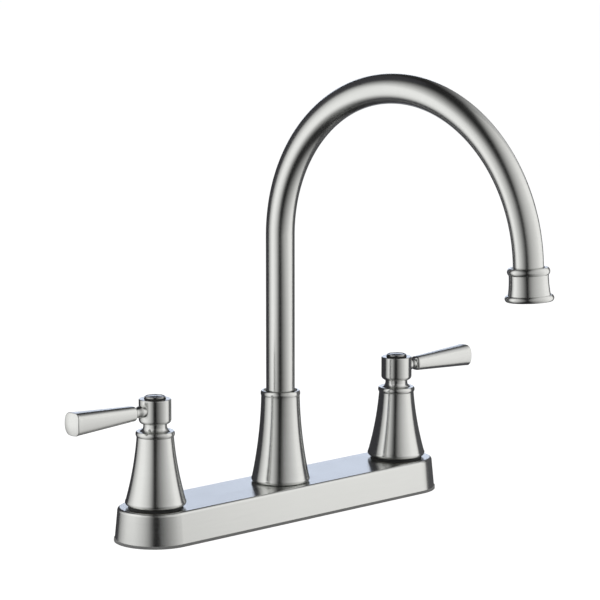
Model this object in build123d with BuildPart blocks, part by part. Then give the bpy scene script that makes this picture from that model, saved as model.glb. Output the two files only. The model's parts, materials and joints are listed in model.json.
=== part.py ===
from build123d import *
from math import cos, radians, sin
import os

# Two handle kitchen faucet on a long deck plate, with a high gooseneck spout.
# Millimetres. The origin is on the sink deck, midway between the two handles.
# +Z is up, +X points to the cold handle, and the user stands at -Y.

# ---------------------------------------------------------------- driving dimensions
# Deck plate and gasket
handle_spread = 203.2        # between the two handle axes, the 8 inch standard
gasket_thickness = 1.6
gasket_overhang = 0.5        # past the foot of the plate, all round
plate_height = 18.6
plate_half_width = 24.4      # at the foot, also the radius of the round ends
plate_draft = 5.5            # degrees, how far the sides lean in
plate_wall = 1.8
plate_edge_radius = 1.8
rib_thickness = 1.6
rib_depth = 2.6
rib_count = 3                # between each handle and the spout
rib_end_gap = 1.0
hole_clearance = 0.35

# Valve bodies, the spout socket and the tubes between them
mount_thread_radius = 12.0   # thread of the mounting nuts, over the crests
mount_thread_length = 29.0   # below the sink deck
shank_radius = 10.4          # 1/2 inch pipe thread of the free end, over the crests
shank_length = 46.0          # below the sink deck
shank_chamfer = 1.2
relief_depth = 1.0           # groove where the two threads meet
relief_width = 1.8
inlet_radius = 5.2
flange_radius = 16.0
flange_thickness = 2.6
barrel_radius = 14.5
collar_radius = 12.0
collar_rise = 8.0            # above the deck plate
valve_bore_radius = 8.9
thread_bore_radius = 9.85
thread_depth = 9.0
tube_outer_radius = 4.75     # 3/8 inch copper
tube_wall = 0.8
tube_socket_depth = 2.4
braze_gap = 0.05
locknut_radius = 14.4
locknut_height = 4.2
locknut_slot = 4.0
thread_gap = 0.05

# Ceramic disc cartridge
sleeve_radius = 8.6
sleeve_wall = 1.1
seal_thickness = 2.5
disc_thickness = 2.5
disc_gap = 0.3
disc_window_inner = 1.6
disc_window_outer = 5.6
disc_window_angle = 78.0
foot_height = 6.0            # driver that carries the moving disc
foot_waist = 3.2
axial_play = 0.2
window_width = 7.0
bonnet_washer_thickness = 0.8
bonnet_across_flats = 19.0
bonnet_height = 6.0
bonnet_neck_radius = 6.2
bonnet_neck_height = 3.0
spindle_radius = 4.0
spindle_running_gap = 0.05
spindle_ring_depth = 0.9
o_ring_squeeze_gap = 0.02     # left round each o-ring in its groove
spline_teeth = 20
spline_tooth_height = 0.45
spline_length = 12.0
spline_gap = 0.08
spline_crest_relief = 0.05
screw_radius = 2.45
screw_thread_length = 9.0
screw_head_radius = 4.5
screw_head_height = 3.4
screw_key = 3.0
screw_gap = 0.05
screw_clearance = 0.15       # round the screw where it passes the handle
screw_key_depth = 1.7

# Handle: bell, rim, neck and hub in one casting
bell_gap = 1.1               # between the deck plate and the bell
glide_ring_thickness = 0.8
bell_lip_radius = 18.15
bell_lip_height = 3.3
bell_lip_undercut = 1.9
bell_lip_step = 0.4          # from the lip in to the foot of the flank
bell_mouth_land = 1.0        # flat rim that faces the glide ring
bell_top_radius = 11.0
bell_rise = 42.2             # from the deck plate to the groove under the rim
bell_curve = 205.0           # radius of the hollow flank
bell_wall = 1.6
bell_roof = 3.8              # metal between the hollow and the ledge
rim_radius = 11.6
rim_height = 3.3
rim_crown = 2.1              # widest level, above the groove
rim_ease = 0.55              # from the crown in to the ledge
neck_radius = 7.0
neck_height = 4.5
neck_cove = 2.8
hub_radius = 9.6
hub_height = 14.7
hub_foot_round = 2.4
hub_top_chamfer = 0.5
boss_wall = 2.6
screw_web = 3.8              # between the spline socket and the screw head
counterbore_gap = 0.7

# Lever
lever_drop = 6.6             # lever axis below the top of the hub
lever_neck_radius = 3.3
lever_thread_radius = 3.0
lever_thread_length = 3.2
lever_seat_depth = 1.0
lever_start = 16.0           # inner end of the square part, from the handle axis
lever_tip = 64.4             # outer end, from the handle axis
lever_inner_height = 8.6
lever_inner_width = 8.4
lever_outer_height = 13.6
lever_outer_width = 12.8
lever_bow = 0.6              # how far each side bows out
lever_inner_corner = 1.2
lever_outer_corner = 1.7
lever_dome = 20.0            # radius of the domed end
lever_inner_chamfer = 1.1

# Button on top of the hub
button_radius = 6.1
button_height = 1.1
button_round = 0.4
button_plug_length = 3.2
button_ring_radius = 6.45
button_ring_thickness = 0.6

# Spout base
spout_bell_radius = 17.95
spout_bell_lip_height = 3.0
spout_bell_undercut = 1.3
spout_lip_step = 0.35        # from the lip in to the foot of the flank
spout_bell_top_radius = 11.8
spout_bell_rise = 53.3       # to the groove under the rim
spout_bell_curve = 275.0
spout_bell_wall = 1.6
spout_rim_radius = 12.1
spout_rim_height = 3.2
spout_rim_crown = 1.75       # widest level, above the groove
spout_rim_ease = 0.6         # from the crown in to the top
spout_recess_gap = 1.5
spout_recess_depth = 1.6
spout_rim_land = 4.0
land_height = 6.0
bushing_height = 8.0
bushing_wall = 1.5
retainer_wall = 1.3
retainer_cap = 2.0
spigot_gap = 0.05
spigot_flange_radius = 11.2
spigot_flange_height = 3.0
spigot_plug_length = 8.0
spigot_bore_radius = 5.4
o_ring_depth = 1.1
o_ring_count = 2
spigot_port_gap = 1.0        # from the water ports up to the spigot

# Gooseneck
spout_radius = 8.75
spout_wall = 1.0
spout_rise = 151.9           # from the deck plate to the start of the bend
rising_bend_radius = 94.1
rising_bend_angle = 75.6
falling_bend_radius = 97.0
falling_bend_angle = 101.2
spout_turn = 3.0             # degrees, how far the spout is swung towards +X at rest
bushing_running_gap = 0.07

# Outlet
outlet_entry = 3.2           # from the end of the bend to the outlet housing
outlet_bead_radius = 12.2
outlet_bead_height = 4.2
outlet_bead_groove = 1.1
outlet_body_radius = 11.3
outlet_body_height = 11.3
outlet_body_flare = 0.85
outlet_body_curve = 60.0     # radius of the hollow side
outlet_lip_radius = 14.0
outlet_lip_height = 3.6
outlet_lip_round = 1.0
outlet_recess_depth = 0.8
outlet_recess_gap = 0.7
outlet_tube_depth = 10.0
outlet_cavity_radius = 10.9
insert_gap = 0.05
outlet_washer_thickness = 1.6
outlet_washer_width = 3.0
insert_recess = 0.9
insert_wall = 1.6
insert_shelf = 1.2
screen_thickness = 0.5
screen_hole_radius = 1.0
screen_pitch = 2.9
insert_key_slot = 2.4

# Fixings under the sink deck
deck_gap = 14.0              # room for the sink deck, from the gasket to the washers
mount_washer_radius = 21.0
mount_washer_thickness = 1.6
mount_washer_gap = 0.3
mount_nut_radius = 15.5
mount_nut_height = 11.0
mount_nut_flange_radius = 19.0
mount_nut_flange_height = 2.5
wing_count = 4
wing_reach = 22.0
wing_thickness = 3.5

# ---------------------------------------------------------------- worked-out places
handle_x = handle_spread / 2
gasket_top = gasket_thickness
plate_top = gasket_top + plate_height
plate_ceiling = plate_top - plate_wall
port_level = (gasket_top + plate_ceiling) / 2
relief_low = -mount_thread_length - relief_width
flange_top = gasket_top + flange_thickness
collar_top = plate_top + collar_rise
thread_bottom = collar_top - thread_depth
locknut_top = plate_top + locknut_height
port_radius = tube_outer_radius - tube_wall

moving_disc_top = port_level - foot_height / 2
moving_disc_low = moving_disc_top - disc_thickness
fixed_disc_low = moving_disc_low - disc_thickness
seat_level = fixed_disc_low - seal_thickness
foot_top = moving_disc_top + foot_height
chamber_top = foot_top + axial_play
chamber_radius = sleeve_radius - sleeve_wall
disc_radius = chamber_radius - disc_gap
bonnet_low = collar_top + bonnet_washer_thickness
bonnet_top = bonnet_low + bonnet_height
bonnet_neck_top = bonnet_top + bonnet_neck_height

bell_bottom = plate_top + bell_gap
bell_top = plate_top + bell_rise
ledge_level = bell_top + rim_height
ledge_radius = rim_radius - rim_ease
hub_bottom = ledge_level + neck_height
hub_top = hub_bottom + hub_height
lever_level = hub_top - lever_drop
spindle_top = hub_bottom - screw_web
spline_low = spindle_top - spline_length
boss_bottom = spline_low + axial_play
boss_radius = spindle_radius + boss_wall
counterbore_radius = screw_head_radius + counterbore_gap
lever_seat = hub_radius - lever_seat_depth

spout_bell_top = plate_top + spout_bell_rise + spout_rim_height
bushing_top = spout_bell_top - spout_rim_land
bushing_low = bushing_top - bushing_height
bushing_radius = spout_radius + bushing_wall
spigot_low = port_level + port_radius + spigot_port_gap
spigot_radius = valve_bore_radius - spigot_gap
spigot_flange_low = collar_top + axial_play / 2
spout_tube_low = spigot_flange_low + spigot_flange_height
retainer_low = locknut_top + axial_play
retainer_top = spout_tube_low + axial_play / 2 + retainer_cap
retainer_radius = collar_radius + retainer_wall
spout_bore_radius = spout_radius - spout_wall

washer_top = -deck_gap
nut_top = washer_top - mount_washer_thickness

HOT = Location((-handle_x, 0, 0), (0, 0, 180))
COLD = Location((handle_x, 0, 0))
SIDES = {"hot": HOT, "cold": COLD}

os.makedirs("parts", exist_ok=True)


def write(shape, name):
    """Label a finished piece and write it as one STEP file."""
    shape.label = name
    export_step(shape, f"parts/{name}.step")


def write_pair(piece, name):
    """Write the hot and the cold copy of a piece that is drawn on the handle axis."""
    for side, place in SIDES.items():
        write(piece.part.moved(place), f"{side}_{name}")


def write_group(shapes, name):
    """Write several separate solids as one piece group."""
    write(Compound(children=list(shapes)), name)


def turned(*outline):
    """A piece turned about Z from a closed outline of (radius, height) points."""
    with BuildPart() as piece:
        with BuildSketch(Plane.XZ):
            with BuildLine():
                Polyline(*outline, close=True)
            make_face()
        revolve(axis=Axis.Z)
    return piece


def ring(outer, inner, low, high):
    """A plain ring between two heights."""
    return turned((inner, low), (outer, low), (outer, high), (inner, high))


def o_ring(bore, shaft, level):
    """A round-section ring that lies in a groove between a shaft and its bore."""
    section = (bore - shaft) / 2
    with BuildPart() as piece:
        with BuildSketch(Plane.XZ):
            with Locations((shaft + section, level)):
                Circle(section - o_ring_squeeze_gap)
        revolve(axis=Axis.Z)
    return piece


# ---------------------------------------------------------------- deck plate and gasket
shank_places = [(-handle_x, 0), (handle_x, 0)]
hole_places = [(0, 0), *shank_places]

with BuildPart() as base_gasket:
    with BuildSketch():
        SlotCenterToCenter(handle_spread, 2 * (plate_half_width + gasket_overhang))
        with Locations(*shank_places):
            Circle(mount_thread_radius + hole_clearance, mode=Mode.SUBTRACT)
    extrude(amount=gasket_thickness)
write(base_gasket.part, "base_gasket")

with BuildPart() as deck_plate:
    with BuildSketch(Plane.XY.offset(gasket_top)):
        SlotCenterToCenter(handle_spread, 2 * plate_half_width)
    extrude(amount=plate_height, taper=plate_draft)
    fillet(deck_plate.faces().sort_by(Axis.Z)[-1].edges(), plate_edge_radius)
    with BuildSketch(Plane.XY.offset(gasket_top)):
        SlotCenterToCenter(handle_spread, 2 * (plate_half_width - plate_wall))
    extrude(amount=plate_height - plate_wall, taper=plate_draft, mode=Mode.SUBTRACT)
    rib_room = handle_x - 2 * flange_radius
    rib_span = 2 * (plate_half_width - plate_wall - rib_end_gap)
    with BuildSketch(Plane.XY.offset(plate_ceiling)):
        for side in (-1, 1):
            with Locations((side * handle_x / 2, 0)):
                with GridLocations(rib_room / rib_count, 0, rib_count, 1):
                    Rectangle(rib_thickness, rib_span)
    extrude(amount=-rib_depth)
    with BuildSketch(Plane.XY.offset(plate_top)):
        with Locations(*hole_places):
            Circle(collar_radius + hole_clearance)
    extrude(amount=-plate_height, mode=Mode.SUBTRACT)
write(deck_plate.part, "deck_plate")

# ---------------------------------------------------------------- valve bodies
with BuildPart() as valve_body:
    with BuildSketch(Plane.XZ):
        with BuildLine():
            Polyline(
                (inlet_radius, -shank_length),
                (shank_radius - shank_chamfer, -shank_length),
                (shank_radius, -shank_length + shank_chamfer),
                (shank_radius, relief_low),
                (shank_radius - relief_depth, relief_low),
                (shank_radius - relief_depth, -mount_thread_length),
                (mount_thread_radius - shank_chamfer, -mount_thread_length),
                (mount_thread_radius, -mount_thread_length + shank_chamfer),
                (mount_thread_radius, gasket_top),
                (flange_radius, gasket_top),
                (flange_radius, flange_top),
                (barrel_radius, flange_top),
                (barrel_radius, plate_ceiling),
                (collar_radius, plate_ceiling),
                (collar_radius, collar_top),
                (thread_bore_radius, collar_top),
                (thread_bore_radius, thread_bottom),
                (valve_bore_radius, thread_bottom),
                (valve_bore_radius, seat_level),
                (inlet_radius, seat_level),
                close=True,
            )
        make_face()
    revolve(axis=Axis.Z)
    with BuildSketch(Plane.YZ):
        with Locations((0, port_level)):
            Circle(port_radius)
    extrude(amount=-barrel_radius, mode=Mode.SUBTRACT)
    with BuildSketch(Plane.YZ.offset(-barrel_radius + tube_socket_depth)):
        with Locations((0, port_level)):
            Circle(tube_outer_radius + braze_gap)
    extrude(amount=-2 * tube_socket_depth, mode=Mode.SUBTRACT)
write_pair(valve_body, "valve_body")

with BuildPart() as spout_socket:
    with BuildSketch(Plane.XZ):
        with BuildLine():
            Polyline(
                (0, gasket_top),
                (flange_radius, gasket_top),
                (flange_radius, flange_top),
                (barrel_radius, flange_top),
                (barrel_radius, plate_ceiling),
                (collar_radius, plate_ceiling),
                (collar_radius, collar_top),
                (valve_bore_radius, collar_top),
                (valve_bore_radius, flange_top),
                (0, flange_top),
                close=True,
            )
        make_face()
    revolve(axis=Axis.Z)
    with BuildSketch(Plane.YZ.offset(-barrel_radius)):
        with Locations((0, port_level)):
            Circle(port_radius)
    extrude(amount=2 * barrel_radius, mode=Mode.SUBTRACT)
    for side in (-1, 1):
        with BuildSketch(Plane.YZ.offset(side * (barrel_radius - tube_socket_depth))):
            with Locations((0, port_level)):
                Circle(tube_outer_radius + braze_gap)
        extrude(amount=side * 2 * tube_socket_depth, mode=Mode.SUBTRACT)
write(spout_socket.part, "spout_socket")

tube_start = barrel_radius - tube_socket_depth
with BuildPart() as waterway_tube:
    with BuildSketch(Plane.YZ.offset(tube_start - handle_x)):
        with Locations((0, port_level)):
            Circle(tube_outer_radius)
            Circle(port_radius, mode=Mode.SUBTRACT)
    extrude(amount=handle_x - 2 * tube_start)
write_pair(waterway_tube, "waterway_tube")

with BuildPart() as locknut:
    with BuildSketch(Plane.XY.offset(plate_top)):
        Circle(locknut_radius)
        Circle(collar_radius + thread_gap, mode=Mode.SUBTRACT)
        with PolarLocations(locknut_radius, 4):
            Rectangle(locknut_slot, locknut_slot, mode=Mode.SUBTRACT)
    extrude(amount=locknut_height)
nut_places = [HOT, Location(), COLD]
write_group([locknut.part.moved(place) for place in nut_places], "locknuts")

# ---------------------------------------------------------------- cartridges
window_span = disc_window_angle / 2


def window_outline(inner, outer):
    """One pie-shaped opening about the X axis, bounded by two arcs."""
    with BuildSketch() as opening:
        with BuildLine():
            inner_arc = CenterArc((0, 0), inner, -window_span, disc_window_angle)
            outer_arc = CenterArc((0, 0), outer, -window_span, disc_window_angle)
            Line(inner_arc @ 0, outer_arc @ 0)
            Line(inner_arc @ 1, outer_arc @ 1)
        make_face()
    return opening.sketch


def ceramic_disc(low, turn):
    """A disc with two opposed openings, the first one at the given angle."""
    with BuildPart() as disc:
        with BuildSketch(Plane.XY.offset(low)):
            Circle(disc_radius)
            with PolarLocations(0, 2, start_angle=turn):
                add(window_outline(disc_window_inner, disc_window_outer), mode=Mode.SUBTRACT)
        extrude(amount=disc_thickness)
    return disc


write_pair(ring(disc_radius, inlet_radius, seat_level, fixed_disc_low), "seat_seal")
write_pair(ceramic_disc(fixed_disc_low, 90), "fixed_disc")
write_pair(ceramic_disc(moving_disc_low, 0), "moving_disc")

with BuildPart() as cartridge_housing:
    with BuildSketch(Plane.XZ):
        with BuildLine():
            Polyline(
                (chamber_radius, fixed_disc_low - seal_thickness / 2),
                (sleeve_radius, fixed_disc_low - seal_thickness / 2),
                (sleeve_radius, thread_bottom),
                (thread_bore_radius - thread_gap, thread_bottom),
                (thread_bore_radius - thread_gap, bonnet_low),
                (bonnet_neck_radius, bonnet_low),
                (bonnet_neck_radius, bonnet_neck_top),
                (spindle_radius + spindle_running_gap, bonnet_neck_top),
                (spindle_radius + spindle_running_gap, chamber_top),
                (chamber_radius, chamber_top),
                close=True,
            )
        make_face()
    revolve(axis=Axis.Z)
    with BuildSketch(Plane.XY.offset(bonnet_low)):
        RegularPolygon(bonnet_across_flats / 2, 6, major_radius=False)
        Circle(spindle_radius + spindle_running_gap, mode=Mode.SUBTRACT)
    extrude(amount=bonnet_height)
    with BuildSketch(Plane.YZ.offset(-sleeve_radius)):
        with Locations((0, port_level)):
            Rectangle(window_width, foot_height)
    extrude(amount=2 * sleeve_radius, mode=Mode.SUBTRACT)
write_pair(cartridge_housing, "cartridge_housing")

washer_inner = thread_bore_radius + thread_gap
write_pair(ring(collar_radius, washer_inner, collar_top, bonnet_low), "bonnet_washer")


def spline_section(gap):
    """Section of the splined end of the spindle, or of its socket with a gap all round."""
    root = spindle_radius - spline_tooth_height + gap
    half_tooth = 180 / spline_teeth
    crest = Vector(spindle_radius - spline_crest_relief + gap, 0)
    low_side = Vector(root, 0).rotate(Axis.Z, -half_tooth)
    high_side = Vector(root, 0).rotate(Axis.Z, half_tooth)
    with BuildSketch() as section:
        Circle(root * cos(radians(half_tooth)))
        with PolarLocations(0, spline_teeth):
            Polygon((0, 0), low_side, crest, high_side, align=None)
    return section.sketch


spindle_ring_level = (thread_bottom + collar_top) / 2
spindle_ring_shaft = spindle_radius - spindle_ring_depth
with BuildPart() as spindle:
    with BuildSketch(Plane.XY.offset(moving_disc_top)):
        Circle(disc_radius)
        with PolarLocations(0, 2):
            add(window_outline(foot_waist, sleeve_radius), mode=Mode.SUBTRACT)
    extrude(amount=foot_height)
    with BuildSketch(Plane.XY.offset(foot_top)):
        Circle(spindle_radius)
    extrude(amount=spline_low - foot_top)
    with BuildSketch(Plane.XY.offset(spline_low)):
        add(spline_section(0))
    extrude(amount=spline_length)
    with BuildSketch(Plane.XY.offset(spindle_top)):
        Circle(screw_radius + screw_gap)
    extrude(amount=-screw_thread_length - screw_web, mode=Mode.SUBTRACT)
    with BuildSketch(Plane.XZ):
        with Locations((spindle_radius, spindle_ring_level)):
            Rectangle(2 * spindle_ring_depth, spindle_ring_depth)
    revolve(axis=Axis.Z, mode=Mode.SUBTRACT)
write_pair(spindle, "spindle")
write_pair(o_ring(spindle_radius, spindle_ring_shaft, spindle_ring_level), "spindle_o_ring")

# ---------------------------------------------------------------- handles
glide_inner = locknut_radius + hole_clearance
write_pair(
    ring(bell_lip_radius - bell_lip_undercut, glide_inner, plate_top,
         plate_top + glide_ring_thickness),
    "glide_ring",
)

lip_level = bell_bottom + bell_lip_height / 2
flank_foot = bell_bottom + bell_lip_height
flank_foot_radius = bell_lip_radius - bell_lip_step
cavity_foot = bell_lip_radius - bell_lip_undercut - bell_mouth_land
with BuildPart() as handle_body:
    with BuildSketch(Plane.XZ):
        with BuildLine():
            Polyline((0, bell_bottom), (bell_lip_radius - bell_lip_undercut, bell_bottom))
            ThreePointArc(
                (bell_lip_radius - bell_lip_undercut, bell_bottom),
                (bell_lip_radius, lip_level),
                (flank_foot_radius, flank_foot),
            )
            RadiusArc((flank_foot_radius, flank_foot), (bell_top_radius, bell_top), bell_curve)
            ThreePointArc(
                (bell_top_radius, bell_top),
                (rim_radius, bell_top + rim_crown),
                (ledge_radius, ledge_level),
            )
            Line((ledge_radius, ledge_level), (neck_radius + neck_cove, ledge_level))
            RadiusArc(
                (neck_radius + neck_cove, ledge_level), (neck_radius, ledge_level + neck_cove), neck_cove
            )
            Polyline(
                (neck_radius, ledge_level + neck_cove),
                (neck_radius, hub_bottom),
                (hub_radius - hub_foot_round, hub_bottom),
            )
            RadiusArc(
                (hub_radius - hub_foot_round, hub_bottom),
                (hub_radius, hub_bottom + hub_foot_round),
                -hub_foot_round,
            )
            Polyline(
                (hub_radius, hub_bottom + hub_foot_round),
                (hub_radius, hub_top - hub_top_chamfer),
                (hub_radius - hub_top_chamfer, hub_top),
                (0, hub_top),
                (0, bell_bottom),
            )
        make_face()
    revolve(axis=Axis.Z)
    # The hollow of the bell, with the splined boss left standing in it
    cavity_top = ledge_level - bell_roof
    cavity_top_radius = bell_top_radius - bell_wall
    with BuildSketch(Plane.XZ):
        with BuildLine():
            RadiusArc((cavity_foot, flank_foot), (cavity_top_radius, cavity_top), bell_curve)
            Polyline(
                (cavity_top_radius, cavity_top),
                (boss_radius, cavity_top),
                (boss_radius, boss_bottom),
                (0, boss_bottom),
                (0, bell_bottom),
                (cavity_foot, bell_bottom),
                (cavity_foot, flank_foot),
            )
        make_face()
    revolve(axis=Axis.Z, mode=Mode.SUBTRACT)
    with BuildSketch(Plane.XY.offset(boss_bottom)):
        add(spline_section(spline_gap))
    extrude(amount=spindle_top + axial_play - boss_bottom, mode=Mode.SUBTRACT)
    with BuildSketch(Plane.XY.offset(hub_bottom)):
        Circle(screw_radius + screw_clearance)
    extrude(amount=-screw_web, mode=Mode.SUBTRACT)
    with BuildSketch(Plane.XY.offset(hub_bottom)):
        Circle(counterbore_radius)
    extrude(amount=hub_height, mode=Mode.SUBTRACT)
    # Seat and thread of the lever, square to the handle axis
    with BuildSketch(Plane.YZ.offset(lever_seat)):
        with Locations((0, lever_level)):
            Circle(lever_neck_radius + screw_gap)
    extrude(amount=2 * lever_seat_depth, mode=Mode.SUBTRACT)
    with BuildSketch(Plane.YZ.offset(lever_seat - lever_thread_length)):
        with Locations((0, lever_level)):
            Circle(lever_thread_radius + screw_gap)
    extrude(amount=lever_thread_length, mode=Mode.SUBTRACT)
write_pair(handle_body, "handle_body")



def lever_section(width, height, corner):
    """Square section of the lever, with its four sides bowed out and its corners rounded."""
    across = width / 2 - lever_bow
    up = height / 2 - lever_bow
    corners = [(-across, -up), (across, -up), (across, up), (-across, up)]
    crowns = [(0, -height / 2), (width / 2, 0), (0, height / 2), (-width / 2, 0)]
    with BuildSketch() as section:
        with BuildLine():
            for start, crown, end in zip(corners, crowns, corners[1:] + corners[:1]):
                ThreePointArc(start, crown, end)
        make_face()
        fillet(section.vertices(), corner)
    return section.sketch


with BuildPart() as lever:
    for place, width, height, corner in (
        (lever_start, lever_inner_width, lever_inner_height, lever_inner_corner),
        (lever_tip, lever_outer_width, lever_outer_height, lever_outer_corner),
    ):
        with BuildSketch(Plane((place, 0, lever_level), x_dir=(0, 1, 0), z_dir=(1, 0, 0))):
            add(lever_section(width, height, corner))
    loft()
    # Trim both ends with one turned envelope: eased corners inside, a dome outside
    envelope = lever_outer_height
    dome_shoulder = lever_tip - lever_dome + (lever_dome**2 - envelope**2) ** 0.5
    inner_ease = lever_inner_height / 2 + lever_inner_chamfer / 2
    with BuildSketch(Plane.XZ):
        with BuildLine():
            Polyline(
                (lever_tip, lever_level),
                (lever_start, lever_level),
                (lever_start, lever_level + inner_ease),
                (lever_start + lever_inner_chamfer, lever_level + inner_ease + lever_inner_chamfer),
                (lever_start + lever_dome, lever_level + envelope),
                (dome_shoulder, lever_level + envelope),
            )
            RadiusArc(
                (dome_shoulder, lever_level + envelope), (lever_tip, lever_level), lever_dome
            )
        make_face()
    revolve(axis=Axis((0, 0, lever_level), (1, 0, 0)), mode=Mode.INTERSECT)
    with BuildSketch(Plane.YZ.offset(lever_seat)):
        with Locations((0, lever_level)):
            Circle(lever_neck_radius)
    extrude(amount=lever_start + lever_inner_chamfer - lever_seat)
    with BuildSketch(Plane.YZ.offset(lever_seat)):
        with Locations((0, lever_level)):
            Circle(lever_thread_radius)
    extrude(amount=-lever_thread_length)
write_pair(lever, "lever")

screw_head_top = hub_bottom + screw_head_height
with BuildPart() as handle_screw:
    with BuildSketch(Plane.XY.offset(hub_bottom)):
        Circle(screw_head_radius)
    extrude(amount=screw_head_height)
    with BuildSketch(Plane.XY.offset(hub_bottom)):
        Circle(screw_radius)
    extrude(amount=-screw_web - screw_thread_length)
    with BuildSketch(Plane.XY.offset(screw_head_top)):
        RegularPolygon(screw_key / 2, 6, major_radius=False)
    extrude(amount=-screw_key_depth, mode=Mode.SUBTRACT)
write_pair(handle_screw, "handle_screw")

button_foot = hub_top + button_ring_thickness
plug_radius = counterbore_radius - screw_gap
with BuildPart() as index_button:
    with BuildSketch(Plane.XY.offset(hub_top - button_plug_length)):
        Circle(plug_radius)
    extrude(amount=button_plug_length + button_ring_thickness)
    with BuildSketch(Plane.XY.offset(button_foot)):
        Circle(button_radius)
    extrude(amount=button_height)
    fillet(index_button.faces().sort_by(Axis.Z)[-1].edges(), button_round)
write_pair(index_button, "index_button")
write_pair(ring(button_ring_radius, plug_radius + screw_gap, hub_top, button_foot), "button_ring")

# ---------------------------------------------------------------- spout base
spout_lip_level = plate_top + spout_bell_lip_height / 2
spout_flank_foot = plate_top + spout_bell_lip_height
spout_foot_radius = spout_bell_radius - spout_lip_step
spout_flank_top = plate_top + spout_bell_rise
spout_rim_edge = spout_rim_radius - spout_rim_ease
spout_cavity_foot = spout_foot_radius - spout_bell_wall
bushing_seat_radius = bushing_radius + thread_gap
land_level = (retainer_low + retainer_top) / 2
with BuildPart() as spout_bell:
    with BuildSketch(Plane.XZ):
        with BuildLine():
            Line((0, plate_top), (spout_bell_radius - spout_bell_undercut, plate_top))
            ThreePointArc(
                (spout_bell_radius - spout_bell_undercut, plate_top),
                (spout_bell_radius, spout_lip_level),
                (spout_foot_radius, spout_flank_foot),
            )
            RadiusArc(
                (spout_foot_radius, spout_flank_foot),
                (spout_bell_top_radius, spout_flank_top),
                spout_bell_curve,
            )
            ThreePointArc(
                (spout_bell_top_radius, spout_flank_top),
                (spout_rim_radius, spout_flank_top + spout_rim_crown),
                (spout_rim_edge, spout_bell_top),
            )
            Polyline(
                (spout_rim_edge, spout_bell_top),
                (0, spout_bell_top),
                (0, plate_top),
            )
        make_face()
    revolve(axis=Axis.Z)
    with BuildSketch(Plane.XZ):
        with BuildLine():
            RadiusArc(
                (spout_cavity_foot, spout_flank_foot), (bushing_seat_radius, bushing_low), spout_bell_curve
            )
            Polyline(
                (bushing_seat_radius, bushing_low),
                (bushing_seat_radius, bushing_top),
                (0, bushing_top),
                (0, plate_top),
                (spout_cavity_foot, plate_top),
                (spout_cavity_foot, spout_flank_foot),
            )
        make_face()
        # The threaded land that screws on to the retaining nut
        with Locations((retainer_radius + thread_gap + spout_bell_radius / 2, land_level)):
            Rectangle(spout_bell_radius, land_height, mode=Mode.SUBTRACT)
    revolve(axis=Axis.Z, mode=Mode.SUBTRACT)
    with BuildSketch(Plane.XY.offset(bushing_top)):
        Circle(spout_radius + hole_clearance)
    extrude(amount=spout_rim_land, mode=Mode.SUBTRACT)
    with BuildSketch(Plane.XY.offset(spout_bell_top)):
        Circle(spout_radius + spout_recess_gap)
    extrude(amount=-spout_recess_depth, mode=Mode.SUBTRACT)
write(spout_bell.part, "spout_bell")

bushing_bore = spout_radius + bushing_running_gap
write(ring(bushing_radius, bushing_bore, bushing_low, bushing_top).part, "spout_bushing")

retainer_roof = retainer_top - retainer_cap
retaining_nut = turned(
    (collar_radius + thread_gap, retainer_low),
    (retainer_radius, retainer_low),
    (retainer_radius, retainer_top),
    (spout_radius + hole_clearance, retainer_top),
    (spout_radius + hole_clearance, retainer_roof),
    (collar_radius + thread_gap, retainer_roof),
)
write(retaining_nut.part, "retaining_nut")

# ---------------------------------------------------------------- spout
o_ring_pitch = (spigot_flange_low - spigot_low) / (o_ring_count + 1)
o_ring_levels = [spigot_low + o_ring_pitch * (index + 1) for index in range(o_ring_count)]
with BuildPart() as spout_spigot:
    with BuildSketch(Plane.XZ):
        with BuildLine():
            Polyline(
                (spigot_bore_radius, spigot_low),
                (spigot_radius, spigot_low),
                (spigot_radius, spigot_flange_low),
                (spigot_flange_radius, spigot_flange_low),
                (spigot_flange_radius, spout_tube_low),
                (spout_bore_radius - braze_gap, spout_tube_low),
                (spout_bore_radius - braze_gap, spout_tube_low + spigot_plug_length),
                (spigot_bore_radius, spout_tube_low + spigot_plug_length),
                close=True,
            )
        make_face()
        with Locations(*[(spigot_radius, level) for level in o_ring_levels]):
            Rectangle(2 * o_ring_depth, o_ring_depth, mode=Mode.SUBTRACT)
    revolve(axis=Axis.Z)
write(spout_spigot.part, "spout_spigot")
write_group(
    [o_ring(spigot_radius, spigot_radius - o_ring_depth, level).part for level in o_ring_levels],
    "spout_o_rings",
)

turn = radians(spout_turn)
spout_plane = Plane(
    origin=(0, 0, 0), x_dir=(sin(turn), -cos(turn), 0), z_dir=(-cos(turn), -sin(turn), 0)
)
with BuildPart() as spout_tube:
    with BuildLine(spout_plane) as route:
        riser = Line((0, spout_tube_low), (0, plate_top + spout_rise))
        rising_bend = JernArc(
            start=riser @ 1, tangent=riser % 1, radius=rising_bend_radius, arc_size=-rising_bend_angle
        )
        falling_bend = JernArc(
            start=rising_bend @ 1,
            tangent=rising_bend % 1,
            radius=falling_bend_radius,
            arc_size=-falling_bend_angle,
        )
        outlet_top = falling_bend @ 1 + (falling_bend % 1) * outlet_entry
        drop = Line(falling_bend @ 1, outlet_top + (falling_bend % 1) * outlet_tube_depth)
    with BuildSketch(Plane.XY.offset(spout_tube_low)):
        Circle(spout_radius)
        Circle(spout_bore_radius, mode=Mode.SUBTRACT)
    sweep()
write(spout_tube.part, "spout_tube")

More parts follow.
